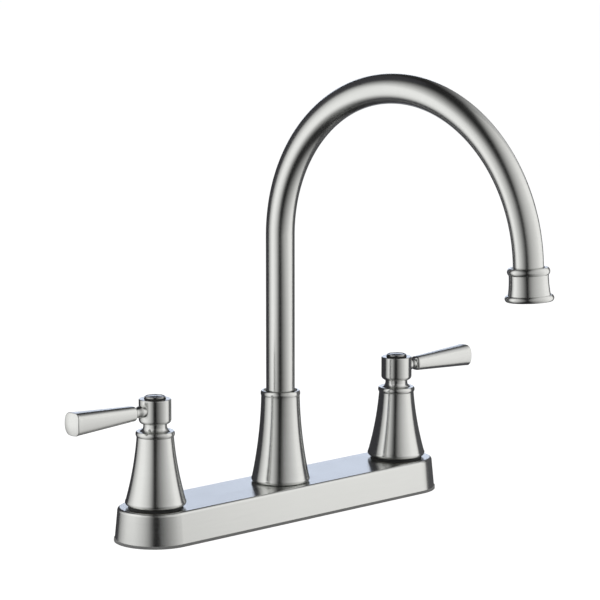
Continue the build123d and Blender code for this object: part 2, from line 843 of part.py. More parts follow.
# ---------------------------------------------------------------- outlet
# Drawn upright with its top at the origin, then set on the end of the spout
outlet_place = Plane(origin=outlet_top, x_dir=spout_plane.z_dir, z_dir=-(drop % 1)).location
bead_low = -outlet_bead_height
lip_top = bead_low - outlet_body_height
outlet_low = lip_top - outlet_lip_height
body_low_radius = outlet_body_radius + outlet_body_flare
cavity_radius = outlet_cavity_radius
bead_edge = outlet_bead_radius - outlet_bead_groove
lip_edge = outlet_lip_radius - outlet_lip_round
with BuildPart() as outlet_housing:
    with BuildSketch(Plane.XZ):
        with BuildLine():
            ThreePointArc((bead_edge, 0), (outlet_bead_radius, bead_low / 2), (outlet_body_radius, bead_low))
            RadiusArc((outlet_body_radius, bead_low), (body_low_radius, lip_top), -outlet_body_curve)
            Line((body_low_radius, lip_top), (lip_edge, lip_top))
            ThreePointArc(
                (lip_edge, lip_top), (outlet_lip_radius, (lip_top + outlet_low) / 2), (lip_edge, outlet_low)
            )
            Polyline(
                (lip_edge, outlet_low),
                (cavity_radius, outlet_low),
                (cavity_radius, -outlet_tube_depth),
                (spout_radius + braze_gap, -outlet_tube_depth),
                (spout_radius + braze_gap, -outlet_recess_depth),
                (spout_radius + outlet_recess_gap, -outlet_recess_depth),
                (spout_radius + outlet_recess_gap, 0),
                (bead_edge, 0),
            )
        make_face()
    revolve(axis=Axis.Z)
write(outlet_housing.part.moved(outlet_place), "outlet_housing")

insert_radius = cavity_radius - insert_gap
insert_top = -outlet_tube_depth - outlet_washer_thickness
insert_low = outlet_low + insert_recess
outlet_washer = ring(
    insert_radius, insert_radius - outlet_washer_width, insert_top, -outlet_tube_depth
)
write(outlet_washer.part.moved(outlet_place), "outlet_washer")

insert_bore = insert_radius - insert_wall
with BuildPart() as outlet_insert:
    with BuildSketch(Plane.XZ):
        with BuildLine():
            Polyline(
                (insert_bore, insert_top),
                (insert_radius, insert_top),
                (insert_radius, insert_low),
                (insert_bore - insert_shelf, insert_low),
                (insert_bore - insert_shelf, insert_low + insert_shelf),
                (insert_bore, insert_low + insert_shelf),
                close=True,
            )
        make_face()
    revolve(axis=Axis.Z)
    with BuildSketch(Plane.XY.offset(insert_low)):
        with PolarLocations(insert_radius, 4):
            Rectangle(2 * insert_wall, insert_key_slot)
    extrude(amount=insert_shelf, mode=Mode.SUBTRACT)
write(outlet_insert.part.moved(outlet_place), "outlet_insert")

with BuildPart() as outlet_screen:
    with BuildSketch(Plane.XY.offset(insert_low + insert_shelf)):
        Circle(insert_bore - insert_gap)
        with PolarLocations(screen_pitch, 6):
            Circle(screen_hole_radius, mode=Mode.SUBTRACT)
        with PolarLocations(2 * screen_pitch, 12):
            Circle(screen_hole_radius, mode=Mode.SUBTRACT)
        Circle(screen_hole_radius, mode=Mode.SUBTRACT)
    extrude(amount=screen_thickness)
write(outlet_screen.part.moved(outlet_place), "outlet_screen")

# ---------------------------------------------------------------- fixings under the sink deck
mount_bore = mount_thread_radius + mount_washer_gap
mount_washer = ring(mount_washer_radius, mount_bore, nut_top, washer_top)
write_group([mount_washer.part.moved(place) for place in (HOT, COLD)], "mounting_washers")

with BuildPart() as mounting_nut:
    with BuildSketch(Plane.XY.offset(nut_top)):
        Circle(mount_nut_flange_radius)
    extrude(amount=-mount_nut_flange_height)
    with BuildSketch(Plane.XY.offset(nut_top)):
        Circle(mount_nut_radius)
        with PolarLocations(wing_reach / 2, wing_count):
            Rectangle(wing_reach, wing_thickness)
    extrude(amount=-mount_nut_height)
    with BuildSketch(Plane.XY.offset(nut_top)):
        Circle(mount_thread_radius + thread_gap)
    extrude(amount=-mount_nut_height, mode=Mode.SUBTRACT)
write_group([mounting_nut.part.moved(place) for place in (HOT, COLD)], "mounting_nuts")
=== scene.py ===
"""Looks of the two handle kitchen faucet: its finishes, its finely made shells and a plain studio.

Lengths are in metres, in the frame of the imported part. The origin is on the sink deck, midway
between the two handles. +Z is up, +X points to the cold handle, and the user stands at -Y.
"""

import json
import logging
import math
from dataclasses import dataclass, field
from enum import Enum
from typing import Mapping, Sequence, Union

import bmesh
import bpy
from mathutils import Matrix, Vector


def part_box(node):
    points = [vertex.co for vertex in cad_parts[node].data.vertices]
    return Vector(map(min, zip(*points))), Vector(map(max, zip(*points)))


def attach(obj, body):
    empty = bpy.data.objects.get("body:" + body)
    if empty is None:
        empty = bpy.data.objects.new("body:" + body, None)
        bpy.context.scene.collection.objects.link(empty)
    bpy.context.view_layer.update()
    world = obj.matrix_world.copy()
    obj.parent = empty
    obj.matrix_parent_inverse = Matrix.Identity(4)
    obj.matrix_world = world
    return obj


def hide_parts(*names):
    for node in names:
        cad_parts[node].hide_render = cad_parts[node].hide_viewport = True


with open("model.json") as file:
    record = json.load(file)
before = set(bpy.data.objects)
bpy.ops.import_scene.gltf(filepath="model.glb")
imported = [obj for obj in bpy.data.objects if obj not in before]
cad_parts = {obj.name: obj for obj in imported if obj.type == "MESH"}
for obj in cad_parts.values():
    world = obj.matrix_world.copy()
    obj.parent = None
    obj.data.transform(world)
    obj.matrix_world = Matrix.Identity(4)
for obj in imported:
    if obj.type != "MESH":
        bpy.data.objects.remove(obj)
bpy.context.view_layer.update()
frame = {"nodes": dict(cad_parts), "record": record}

LOG = logging.getLogger("faucet")

Colour = tuple[float, float, float]
Point = tuple[float, float, float]


# ---------------------------------------------------------------- shader arithmetic
class Value:
    """A number on a socket, which takes part in Python arithmetic through Math nodes."""

    def __init__(self, bench: "NodeBench", socket: bpy.types.NodeSocket) -> None:
        """Keep the socket and the bench that its node stands on."""
        self.bench = bench
        self.socket = socket

    def _math(self, operation: str, *terms: "Term") -> "Value":
        """Add one Math node.

        Args:
            operation: Blender's name of the operation.
            terms: What goes into its inputs, in order.

        Returns:
            The node's result.
        """
        return self.bench.value("ShaderNodeMath", {"operation": operation}, dict(enumerate(terms)))

    def __add__(self, other: "Term") -> "Value":
        """Sum."""
        return self._math("ADD", self, other)

    def __sub__(self, other: "Term") -> "Value":
        """Difference."""
        return self._math("SUBTRACT", self, other)

    def __rsub__(self, other: "Term") -> "Value":
        """Difference, with this value taken away."""
        return self._math("SUBTRACT", other, self)

    def __mul__(self, other: "Term") -> "Value":
        """Product."""
        return self._math("MULTIPLY", self, other)

    def __pow__(self, other: "Term") -> "Value":
        """Power."""
        return self._math("POWER", self, other)

    def __rpow__(self, other: "Term") -> "Value":
        """Power, with this value as the exponent."""
        return self._math("POWER", other, self)

    def at_least(self, least: float) -> "Value":
        """Return this value, or the least if that is more."""
        return self._math("MAXIMUM", self, least)

    __radd__ = __add__
    __rmul__ = __mul__


Term = Union[Value, bpy.types.NodeSocket, float, Sequence[float]]
Settings = Mapping[str, object]
Inputs = Mapping[Union[str, int], Term]


class NodeBench:
    """Places nodes in one tree and links them as they come."""

    def __init__(self, owner: Union[bpy.types.Material, bpy.types.World]) -> None:
        """Take over the nodes of a material or a world, and clear them.

        Args:
            owner: The material or the world.
        """
        owner.use_nodes = True
        self.tree = owner.node_tree
        self.tree.nodes.clear()

    def add(
        self, kind: str, settings: Settings | None = None, inputs: Inputs | None = None
    ) -> bpy.types.Node:
        """Add a node.

        Args:
            kind: The node's Blender type.
            settings: Its settings, set first.
            inputs: Values or links of its sockets, by name or number.

        Returns:
            The new node.
        """
        node = self.tree.nodes.new(kind)
        for name, setting in (settings or {}).items():
            setattr(node, name, setting)
        for name, term in (inputs or {}).items():
            self.feed(node.inputs[name], term)
        return node

    def feed(self, socket: bpy.types.NodeSocket, term: Term) -> None:
        """Link a value to a socket, or set a number, vector or colour on it.

        Args:
            socket: The socket.
            term: What goes into it.
        """
        source = term.socket if isinstance(term, Value) else term
        if isinstance(source, bpy.types.NodeSocket):
            self.tree.links.new(source, socket)
        else:
            socket.default_value = source

    def value(
        self,
        kind: str,
        settings: Settings | None = None,
        inputs: Inputs | None = None,
        output: Union[str, int] = 0,
    ) -> Value:
        """Add a node and take one of its outputs.

        Args:
            kind: The node's Blender type.
            settings: Its settings.
            inputs: Values or links of its sockets.
            output: The output's name or number.

        Returns:
            That output, ready for arithmetic.
        """
        return Value(self, self.add(kind, settings, inputs).outputs[output])

    def vector(self, operation: str, *terms: Term, output: int = 0) -> Value:
        """Add one Vector Math node.

        Args:
            operation: Blender's name of the operation.
            terms: Its vectors, in order.
            output: 0 for a vector and 1 for a number.

        Returns:
            The node's result.
        """
        settings = {"operation": operation}
        return self.value("ShaderNodeVectorMath", settings, dict(enumerate(terms)), output)

    def parts(self, vector: Term) -> list[Value]:
        """Return a vector's X, Y and Z."""
        node = self.add("ShaderNodeSeparateXYZ", None, {0: vector})
        return [Value(self, output) for output in node.outputs]

    def place(self) -> Value:
        """Return the point that is shaded, in the piece's own frame."""
        return self.value("ShaderNodeTexCoord", None, None, "Object")

    def stored(self, name: str) -> Value:
        """Return a number that is stored on the mesh."""
        return self.value("ShaderNodeAttribute", {"attribute_name": name}, None, "Fac")

    def ramp(self, place: Term, *ends: float) -> Value:
        """Return a number that runs between two values as a place runs between two others.

        Args:
            place: What it follows, held between its ends.
            ends: The two places, then the value at each.

        Returns:
            The number.
        """
        return self.value("ShaderNodeMapRange", None, {0: place, **dict(enumerate(ends, 1))})

    def mixed(self, factor: Term, first: Union[Value, Colour], second: Union[Value, Colour]) -> Value:
        """Blend two colours.

        Args:
            factor: 0 for the first colour, 1 for the second.
            first: A colour or a link.
            second: A colour or a link.

        Returns:
            The blended colour.
        """
        node = self.add("ShaderNodeMix", {"data_type": "RGBA"}, {"Factor": factor})
        for socket, term in zip([s for s in node.inputs if s.type == "RGBA"], (first, second)):
            self.feed(socket, term if isinstance(term, Value) else (*term, 1.0))
        return Value(self, next(s for s in node.outputs if s.type == "RGBA"))

    def noise(self, vector: Term, scale: float, detail: float = 2.0, height: Term | None = None) -> Value:
        """Add a noise pattern.

        Args:
            vector: Where it is read.
            scale: Its cells in a metre.
            detail: How many finer layers it has.
            height: A fourth coordinate, or None for a plain three-dimensional pattern.

        Returns:
            The pattern, from 0 to 1.
        """
        inputs: dict[Union[str, int], Term] = {"Vector": vector, "Scale": scale, "Detail": detail}
        if height is not None:
            inputs["W"] = height
        settings = {"noise_dimensions": "3D" if height is None else "4D"}
        return self.value("ShaderNodeTexNoise", settings, inputs)

    def bump(self, shader: bpy.types.Node, height: Value, depth: float) -> None:
        """Lead a height from 0 to 1, of marks with a real depth in metres, to a shader's normal."""
        bent = self.value("ShaderNodeBump", None, {"Height": height, "Distance": depth})
        self.feed(shader.inputs["Normal"], bent)

    def show(self, shader: bpy.types.Node) -> None:
        """Make a shader the surface of the material."""
        self.add("ShaderNodeOutputMaterial", None, {"Surface": shader.outputs[0]})


# ---------------------------------------------------------------- finishes
class Grain(Enum):
    """The way a brush, a lathe or a die ran over a piece."""

    ROUND = "round the piece's own axis"
    LENGTH = "along X"
    PATH = "round a tube, by its stored length"
    RIM = "round the walls, and along X on the top"
    NONE = "no direction"


PATH_NAME = "path_length"
RIM_SLOPES = (0.5, 0.8)        # Z of the normal at which a RIM grain turns from wall to top
QUARTER_TURN = 0.25            # lays the drawn-out highlights across the grain
MIDDLE = 0.5                   # of a pattern that runs from 0 to 1


@dataclass(frozen=True)
class Finish:
    """A finish: what all of them share, and a plain even surface if nothing is added.

    Attributes:
        name: The material's name.
        slot: The material slot of the record that it stands for.
        colour: Base colour, linear.
        roughness: Mean roughness.
        metallic: 1 for a bare metal.
        grain: Which way its marks run.
        centre: A point on the axis that a ROUND grain runs about.
        anisotropy: How far highlights draw out across the grain.
    """

    name: str
    slot: str
    colour: Colour
    roughness: float = 0.4
    metallic: float = 0.0
    grain: Grain = Grain.NONE
    centre: Point = (0.0, 0.0, 0.0)
    anisotropy: float = 0.0

    def material(self) -> bpy.types.Material:
        """Make the Blender material, unless one of its name is there already.

        That is so after the first call, and where the frame came with a material of that name.

        Returns:
            The material.
        """
        known = bpy.data.materials.get(self.name)
        if known:
            return known
        made = bpy.data.materials.new(self.name)
        bench = NodeBench(made)
        shader = bench.add("ShaderNodeBsdfPrincipled", None, {
            "Base Color": (*self.colour, 1.0),
            "Roughness": self.roughness,
            "Metallic": self.metallic,
            "Anisotropic": self.anisotropy,
            "Anisotropic Rotation": QUARTER_TURN if self.anisotropy else 0.0,
        })
        bench.show(shader)
        self.dress(bench, shader)
        return made

    def dress(self, bench: NodeBench, shader: bpy.types.Node) -> None:
        """Add what varies over the surface; each finish says what.

        Args:
            bench: Where the nodes go.
            shader: The shader that they feed.
        """

    def marks(self, bench: NodeBench, lines: float, drift: float, detail: float = 2.0) -> Value:
        """Draw fine marks along the grain.

        Args:
            bench: Where the nodes go.
            lines: Marks in a metre, counted across the grain.
            drift: How often a mark changes in a metre along the grain.
            detail: Finer layers of the pattern.

        Returns:
            The marks, from 0 to 1.
        """
        if self.grain is Grain.PATH:
            slow = bench.vector("MULTIPLY", bench.place(), (drift,) * 3)
            return bench.noise(slow, 1.0, detail, bench.stored(PATH_NAME) * lines)
        place = bench.vector("SUBTRACT", bench.place(), self.centre)
        if self.grain is Grain.ROUND:
            flat = bench.vector("MULTIPLY", place, (1.0, 1.0, 0.0))
            radius = bench.vector("LENGTH", flat, output=1)
            deep = bench.value("ShaderNodeCombineXYZ", None, {2: radius * lines})
            turned = bench.vector("ADD", bench.vector("MULTIPLY", flat, (drift,) * 3), deep)
            return bench.noise(turned, 1.0, detail, bench.parts(place)[2] * lines)
        if self.grain is Grain.RIM:
            normal = bench.value("ShaderNodeNewGeometry", output="Normal")
            top = bench.ramp(bench.parts(normal)[2], *RIM_SLOPES, 0.0, 1.0)
            _, across, level = bench.parts(place)
            slow = bench.vector("MULTIPLY", place, (drift,) * 3)
            return bench.noise(slow, 1.0, detail, (level + top * (across - level)) * lines)
        if self.grain is Grain.LENGTH:
            return bench.noise(bench.vector("MULTIPLY", place, (drift, lines, lines)), 1.0, detail)
        return bench.noise(place, lines, detail)


@dataclass(frozen=True)
class BrushedNickel(Finish):
    """Satin nickel: fine brush lines with longer scratches among them, a little handled.

    Attributes:
        brush_lines: Brush lines in a metre across the grain.
        brush_drift: How often they change in a metre along it.
        streak_lines: Scratches in a metre across the grain.
        streak_drift: How often they change in a metre along it.
        streak_tone: Share of the shade that the scratches make.
        streak_depth: Share of the depth that they make.
        line_depth: Depth of the lines.
        shade: How far the lines lighten or darken the metal.
        streak_gloss: How far the scratches change the roughness.
        clouds: Dull clouds in a metre.
        cloud_gloss: How far they change the roughness.
    """

    brush_lines: float = 5200.0
    brush_drift: float = 110.0
    streak_lines: float = 900.0
    streak_drift: float = 26.0
    streak_tone: float = 0.55
    streak_depth: float = 0.4
    line_depth: float = 5.0e-6
    shade: float = 0.07
    streak_gloss: float = 0.07
    clouds: float = 45.0
    cloud_gloss: float = 0.05

    def dress(self, bench: NodeBench, shader: bpy.types.Node) -> None:
        """Brush lines bend the normal, streaks vary shade and gloss, and clouds dull it in places.

        Args:
            bench: Where the nodes go.
            shader: The shader that they feed.
        """
        fine = self.marks(bench, self.brush_lines, self.brush_drift, detail=3.0)
        streaks = self.marks(bench, self.streak_lines, self.streak_drift, detail=3.0)
        clouds = bench.noise(bench.place(), self.clouds, detail=3.0)
        light = tuple(min(1.0, c * (1 + self.shade)) for c in self.colour)
        dark = tuple(c * (1 - self.shade) for c in self.colour)
        tone = fine * (1 - self.streak_tone) + streaks * self.streak_tone
        bench.feed(shader.inputs["Base Color"], bench.mixed(tone, dark, light))
        gloss = self.streak_gloss * (streaks - MIDDLE) + self.cloud_gloss * (clouds - MIDDLE)
        bench.feed(shader.inputs["Roughness"], self.roughness + gloss)
        height = fine * (1 - self.streak_depth) + streaks * self.streak_depth
        bench.bump(shader, height, self.line_depth)


@dataclass(frozen=True)
class PolishedNickel(Finish):
    """Bright nickel with the faint haze and fine turning lines of a polished button.

    Attributes:
        haze: Patches of haze in a metre.
        haze_gloss: How far they change the roughness.
        haze_mean: The pattern's value at which they leave it as it is.
        ring_lines: Turning lines in a metre.
        ring_drift: How often they change in a metre round the piece.
        ring_shade: How much of the light they leave.
        ring_depth: Their depth.
    """

    haze: float = 240.0
    haze_gloss: float = 0.10
    haze_mean: float = 0.4
    ring_lines: float = 4200.0
    ring_drift: float = 60.0
    ring_shade: float = 0.94
    ring_depth: float = 1.0e-6

    def dress(self, bench: NodeBench, shader: bpy.types.Node) -> None:
        """Haze varies the gloss, and faint turning lines bend the normal.

        Args:
            bench: Where the nodes go.
            shader: The shader that they feed.
        """
        haze = bench.noise(bench.place(), self.haze, detail=4.0)
        rings = self.marks(bench, self.ring_lines, self.ring_drift, detail=1.0)
        dark = tuple(self.ring_shade * c for c in self.colour)
        gloss = self.haze_gloss * (haze - self.haze_mean)
        bench.feed(shader.inputs["Roughness"], self.roughness + gloss)
        bench.feed(shader.inputs["Base Color"], bench.mixed(rings, self.colour, dark))
        bench.bump(shader, rings, self.ring_depth)


@dataclass(frozen=True)
class MachinedMetal(Finish):
    """Bare turned or drawn metal, with tool marks and a stain of oxide.

    Attributes:
        stain: The colour that the metal turns to in patches.
        patches: Those patches in a metre.
        patch_gloss: How much rougher they are.
        patch_power: How far they keep to themselves.
        tool_lines: Tool marks in a metre.
        tool_drift: How often they change in a metre along the grain.
        tool_gloss: How far they change the roughness.
        tool_depth: Their depth.
    """

    stain: Colour = (0.3, 0.2, 0.1)
    patches: float = 130.0
    patch_gloss: float = 0.25
    patch_power: float = 2.2
    tool_lines: float = 3000.0
    tool_drift: float = 20.0
    tool_gloss: float = 0.08
    tool_depth: float = 8.0e-6

    def dress(self, bench: NodeBench, shader: bpy.types.Node) -> None:
        """Tool marks bend the normal, and oxide darkens and dulls the metal in patches.

        Args:
            bench: Where the nodes go.
            shader: The shader that they feed.
        """
        tool = self.marks(bench, self.tool_lines, self.tool_drift, detail=1.0)
        patches = bench.noise(bench.place(), self.patches, detail=5.0) ** self.patch_power
        bench.feed(shader.inputs["Base Color"], bench.mixed(patches, self.colour, self.stain))
        gloss = self.patch_gloss * patches + self.tool_gloss * (tool - MIDDLE)
        bench.feed(shader.inputs["Roughness"], self.roughness + gloss)
        bench.bump(shader, tool, self.tool_depth)


@dataclass(frozen=True)
class MouldedSurface(Finish):
    """A moulded plastic, rubber, fibre or ceramic with the fine texture of its mould.

    Each has the name of its slot, which the frame's own even material has too. The pieces wear
    that one, so this texture and bloom don't show yet. Another name would bring them out.

    Attributes:
        bloom: The paler colour that shows in patches.
        patches: Those patches in a metre.
        patch_gloss: How much rougher they are.
        patch_mean: The pattern's value at which they leave the roughness as it is.
        patch_power: How far they keep to themselves.
        texture: Grains in a metre.
        texture_gloss: How far they change the roughness.
        depth: Depth of the texture.
    """

    bloom: Colour = (0.1, 0.1, 0.1)
    patches: float = 90.0
    patch_gloss: float = 0.15
    patch_mean: float = 0.3
    patch_power: float = 2.0
    texture: float = 2600.0
    texture_gloss: float = 0.05
    depth: float = 12.0e-6

    def dress(self, bench: NodeBench, shader: bpy.types.Node) -> None:
        """Mould texture bends the normal, and a bloom pales and dulls the surface in patches.

        Args:
            bench: Where the nodes go.
            shader: The shader that they feed.
        """
        grain = bench.noise(bench.place(), self.texture, detail=3.0)
        patches = bench.noise(bench.place(), self.patches, detail=4.0) ** self.patch_power
        bench.feed(shader.inputs["Base Color"], bench.mixed(patches, self.colour, self.bloom))
        gloss = self.patch_gloss * (patches - self.patch_mean) + self.texture_gloss * (grain - MIDDLE)
        bench.feed(shader.inputs["Roughness"], self.roughness + gloss)
        bench.bump(shader, grain, self.depth)


NICKEL: Colour = (0.693, 0.698, 0.684)
# painted shade: the button's nickel is made much darker than the rest of the nickel, standing in for the
# dark reflection on its top
BUTTON_NICKEL_PAINTED_DARK: Colour = (0.37, 0.37, 0.365)
BRASS: Colour = (0.72, 0.52, 0.25)
COPPER: Colour = (0.80, 0.42, 0.27)
RUBBER: Colour = (0.018, 0.018, 0.018)


def nickel(name: str, slot: str, grain: Grain, **changes: float) -> BrushedNickel:
    """Return satin nickel for one group of pieces.

    Args:
        name: The material's name.
        slot: The record's slot that it stands for.
        grain: Which way the brush ran.
        changes: Other fields of the finish.

    Returns:
        The finish.
    """
    fields = {"roughness": 0.22, "metallic": 1.0, **changes}
    return BrushedNickel(name, slot, NICKEL, grain=grain, **fields)


def moulded(slot: str, colour: Colour, roughness: float, bloom: Colour, **changes: float) -> MouldedSurface:
    """Return the finish of a moulded slot, with the slot's own name."""
    return MouldedSurface(slot, slot, colour, roughness, bloom=bloom, **changes)


TURNED_NICKEL = nickel("nickel_turned", "brushed_nickel", Grain.ROUND, anisotropy=0.7)
PLATE_NICKEL = nickel("nickel_plate", "brushed_nickel_plate", Grain.RIM, line_depth=2.0e-6, roughness=0.21)
LEVER_NICKEL = nickel("nickel_lever", "brushed_nickel_lever", Grain.LENGTH, line_depth=3.0e-6)
TUBE_NICKEL = nickel("nickel_tube", "brushed_nickel_tube", Grain.PATH, line_depth=2.5e-6)
# the button wears the darkened nickel above, painted shade in place of a dark reflection
BUTTON_FINISH = PolishedNickel("button_nickel_painted_dark", "polished_nickel", BUTTON_NICKEL_PAINTED_DARK, 0.17, 1.0, Grain.ROUND)
BLACK_RUBBER = moulded("black_rubber", RUBBER, 0.62, (0.045, 0.045, 0.045))


# ---------------------------------------------------------------- mesh building
EASE_LIMIT = 0.45              # the most of a side that a soft corner may take
ON_AXIS = 1e-7                 # a point of an outline this near the axis is one vertex


@dataclass
class Outline:
    """Outline of a turned piece, drawn stroke by stroke as (radius, height) points.

    Attributes:
        points: The points so far.
        eases: For each point, how far its corner is eased.
    """

    points: list[Vector] = field(default_factory=list)
    eases: list[float] = field(default_factory=list)

    def line(self, radius: float, height: float, ease: float = 0.0) -> "Outline":
        """Go straight to a point.

        Args:
            radius: Its distance from the axis.
            height: Its height.
            ease: Size of the soft corner there.

        Returns:
            The outline, for the next stroke.
        """
        self.points.append(Vector((radius, height)))
        self.eases.append(ease)
        return self

    def through(
        self, middle: Sequence[float], end: Sequence[float], ease: float = 0.0, steps: int = 12
    ) -> "Outline":
        """Go along the arc through a middle point.

        Args:
            middle: A point on the arc.
            end: Where the arc ends.
            ease: Size of the soft corner at its end.
            steps: How many straight pieces stand for the arc.

        Returns:
            The outline, for the next stroke.
        """
        start = self.points[-1]
        near, far = Vector(middle) - start, Vector(end) - start
        doubled = 2 * near.cross(far)
        from_start = Vector((
            (far.y * near.length_squared - near.y * far.length_squared) / doubled,
            (near.x * far.length_squared - far.x * near.length_squared) / doubled,
        ))
        centre, spoke, last = start + from_start, -from_start, far - from_start
        first_angle = math.atan2(spoke.y, spoke.x)
        way = math.copysign(1.0, doubled)
        sweep = (math.atan2(last.y, last.x) - first_angle) * way % (2 * math.pi) * way
        for step in range(1, steps + 1):
            angle = first_angle + sweep * step / steps
            point = centre + Vector((math.cos(angle), math.sin(angle))) * spoke.length
            self.line(point.x, point.y, ease if step == steps else 0.0)
        return self

    def arc(
        self, radius: float, height: float, curve: float, ease: float = 0.0, steps: int = 12
    ) -> "Outline":
        """Go along an arc of a given radius.

        Args:
            radius: Distance of its end from the axis.
            height: Height of its end.
            curve: Radius of the arc; above 0 it bows to the right of the way there.
            ease: Size of the soft corner at its end.
            steps: How many straight pieces stand for the arc.

        Returns:
            The outline, for the next stroke.
        """
        start, end = self.points[-1], Vector((radius, height))
        chord = end - start
        rise = abs(curve) - math.sqrt(curve**2 - (chord.length / 2) ** 2)
        right = Vector((chord.y, -chord.x)).normalized()
        middle = (start + end) / 2 + right * math.copysign(rise, curve)
        return self.through(middle, end, ease, steps)

    def eased(self, steps: int = 4) -> list[Vector]:
        """Round off each eased corner.

        Args:
            steps: Straight pieces in a rounded corner.

        Returns:
            The points of the finished outline.
        """
        made: list[Vector] = []
        for index, (corner, ease) in enumerate(zip(self.points, self.eases)):
            if not ease:
                made.append(corner)
                continue
            back = self.points[index - 1] - corner
            ahead = self.points[(index + 1) % len(self.points)] - corner
            a, b = (
                corner + side.normalized() * min(ease, side.length * EASE_LIMIT) for side in (back, ahead)
            )
            for t in (step / steps for step in range(steps + 1)):
                made.append(a * (1 - t) ** 2 + corner * 2 * t * (1 - t) + b * t**2)
        return made


def build_piece(
    name: str,
    vertices: Sequence[Vector],
    faces: Sequence[Sequence[int]],
    place: Matrix | None = None,
    crease: float = 38.0,
) -> bpy.types.Object:
    """Make one piece from its vertices and faces, smooth except at its hard edges.

    Args:
        name: The piece's name.
        vertices: Its vertices, in its own frame.
        faces: Its faces, as rows of vertex numbers.
        place: Its own frame in the row frame, or None for the row frame itself.
        crease: Edges that turn by more degrees than this stay hard.

    Returns:
        The new object.
    """
    mesh = bpy.data.meshes.new(name)
    shape = bmesh.new()
    corners = [shape.verts.new(v) for v in vertices]
    for face in faces:
        shape.faces.new([corners[i] for i in face])
    bmesh.ops.recalc_face_normals(shape, faces=shape.faces)
    shape.to_mesh(mesh)
    shape.free()
    mesh.shade_smooth()
    mesh.set_sharp_from_angle(angle=math.radians(crease))
    piece = bpy.data.objects.new(name, mesh)
    bpy.context.scene.collection.objects.link(piece)
    piece.matrix_world = place or Matrix.Identity(4)
    piece.modifiers.new("even_normals", "WEIGHTED_NORMAL").keep_sharp = True
    return piece


def skin_piece(
    name: str, rings: Sequence[Sequence[Vector]], place: Matrix | None = None, loop: bool = False
) -> bpy.types.Object:
    """Skin a row of rings.

    Args:
        name: The piece's name.
        rings: The rings, as many points in each, or one point where the piece closes.
        place: The piece's own frame in the row frame.
        loop: Whether the last ring joins the first.

    Returns:
        The new object.
    """
    around = max(len(ring) for ring in rings)
    vertices: list[Vector] = []
    numbers: list[list[int]] = []
    for ring in rings:
        numbers.append([len(vertices) + step % len(ring) for step in range(around)])
        vertices += ring
    if loop:
        numbers.append(numbers[0])
    faces = []
    for lower, upper in zip(numbers, numbers[1:]):
        for step in range(around):
            after = (step + 1) % around
            face = list(dict.fromkeys((lower[step], lower[after], upper[after], upper[step])))
            if len(face) > 2:
                faces.append(face)
    return build_piece(name, vertices, faces, place)


def turn_piece(
    name: str, outline: Outline, place: Matrix | None = None, segments: int = 96
) -> bpy.types.Object:
    """Turn a closed outline about the piece's own Z axis.

    Args:
        name: The piece's name.
        outline: Its outline. Points on the axis become one vertex.
        place: Its own frame in the row frame.
        segments: Steps round the axis.

    Returns:
        The new object.
    """
    turns = [2 * math.pi * step / segments for step in range(segments)]
    rings = []
    for point in outline.eased():
        around = turns if point.x > ON_AXIS else turns[:1]
        rings.append([Vector((point.x * math.cos(a), point.x * math.sin(a), point.y)) for a in around])
    return skin_piece(name, rings, place, loop=True)


def fit_piece(piece: bpy.types.Object, finish: Finish, body: str, node: str) -> None:
    """Dress a new piece, and put it in the place of its CAD node.

    Args:
        piece: The new piece.
        finish: What it wears.
        body: The CAD body that it moves with.
        node: The CAD node that it stands for.
    """
    piece.data.materials.append(finish.material())
    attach(piece, body)
    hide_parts(node)
    LOG.info("%s: %d faces, rides on %s", piece.name, len(piece.data.polygons), body)


# ---------------------------------------------------------------- the faucet's own places
def axis_of(node: str) -> Point:
    """Return the middle of a CAD node's box at height 0, where its upright axis stands."""
    low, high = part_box(node)
    return ((low.x + high.x) / 2, (low.y + high.y) / 2, 0.0)


class Side(Enum):
    """The two handles. The value is the sign of X."""

    HOT = -1
    COLD = 1

    @property
    def label(self) -> str:
        """The side's name in the names of its nodes."""
        return self.name.lower()

    @property
    def body(self) -> str:
        """The CAD body of its handle."""
        return self.node("handle")

    def node(self, piece: str) -> str:
        """Return the name of this side's node."""
        return f"{self.label}_{piece}"

    @property
    def place(self) -> Matrix:
        """The handle's own frame: Z on its axis, X along its lever."""
        turn = Matrix.Rotation(math.pi if self is Side.HOT else 0.0, 4, "Z")
        return Matrix.Translation(axis_of(self.node("spindle"))) @ turn

    @property
    def hub_top(self) -> float:
        """Height of the top of its hub."""
        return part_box(self.node("handle_body"))[1].z


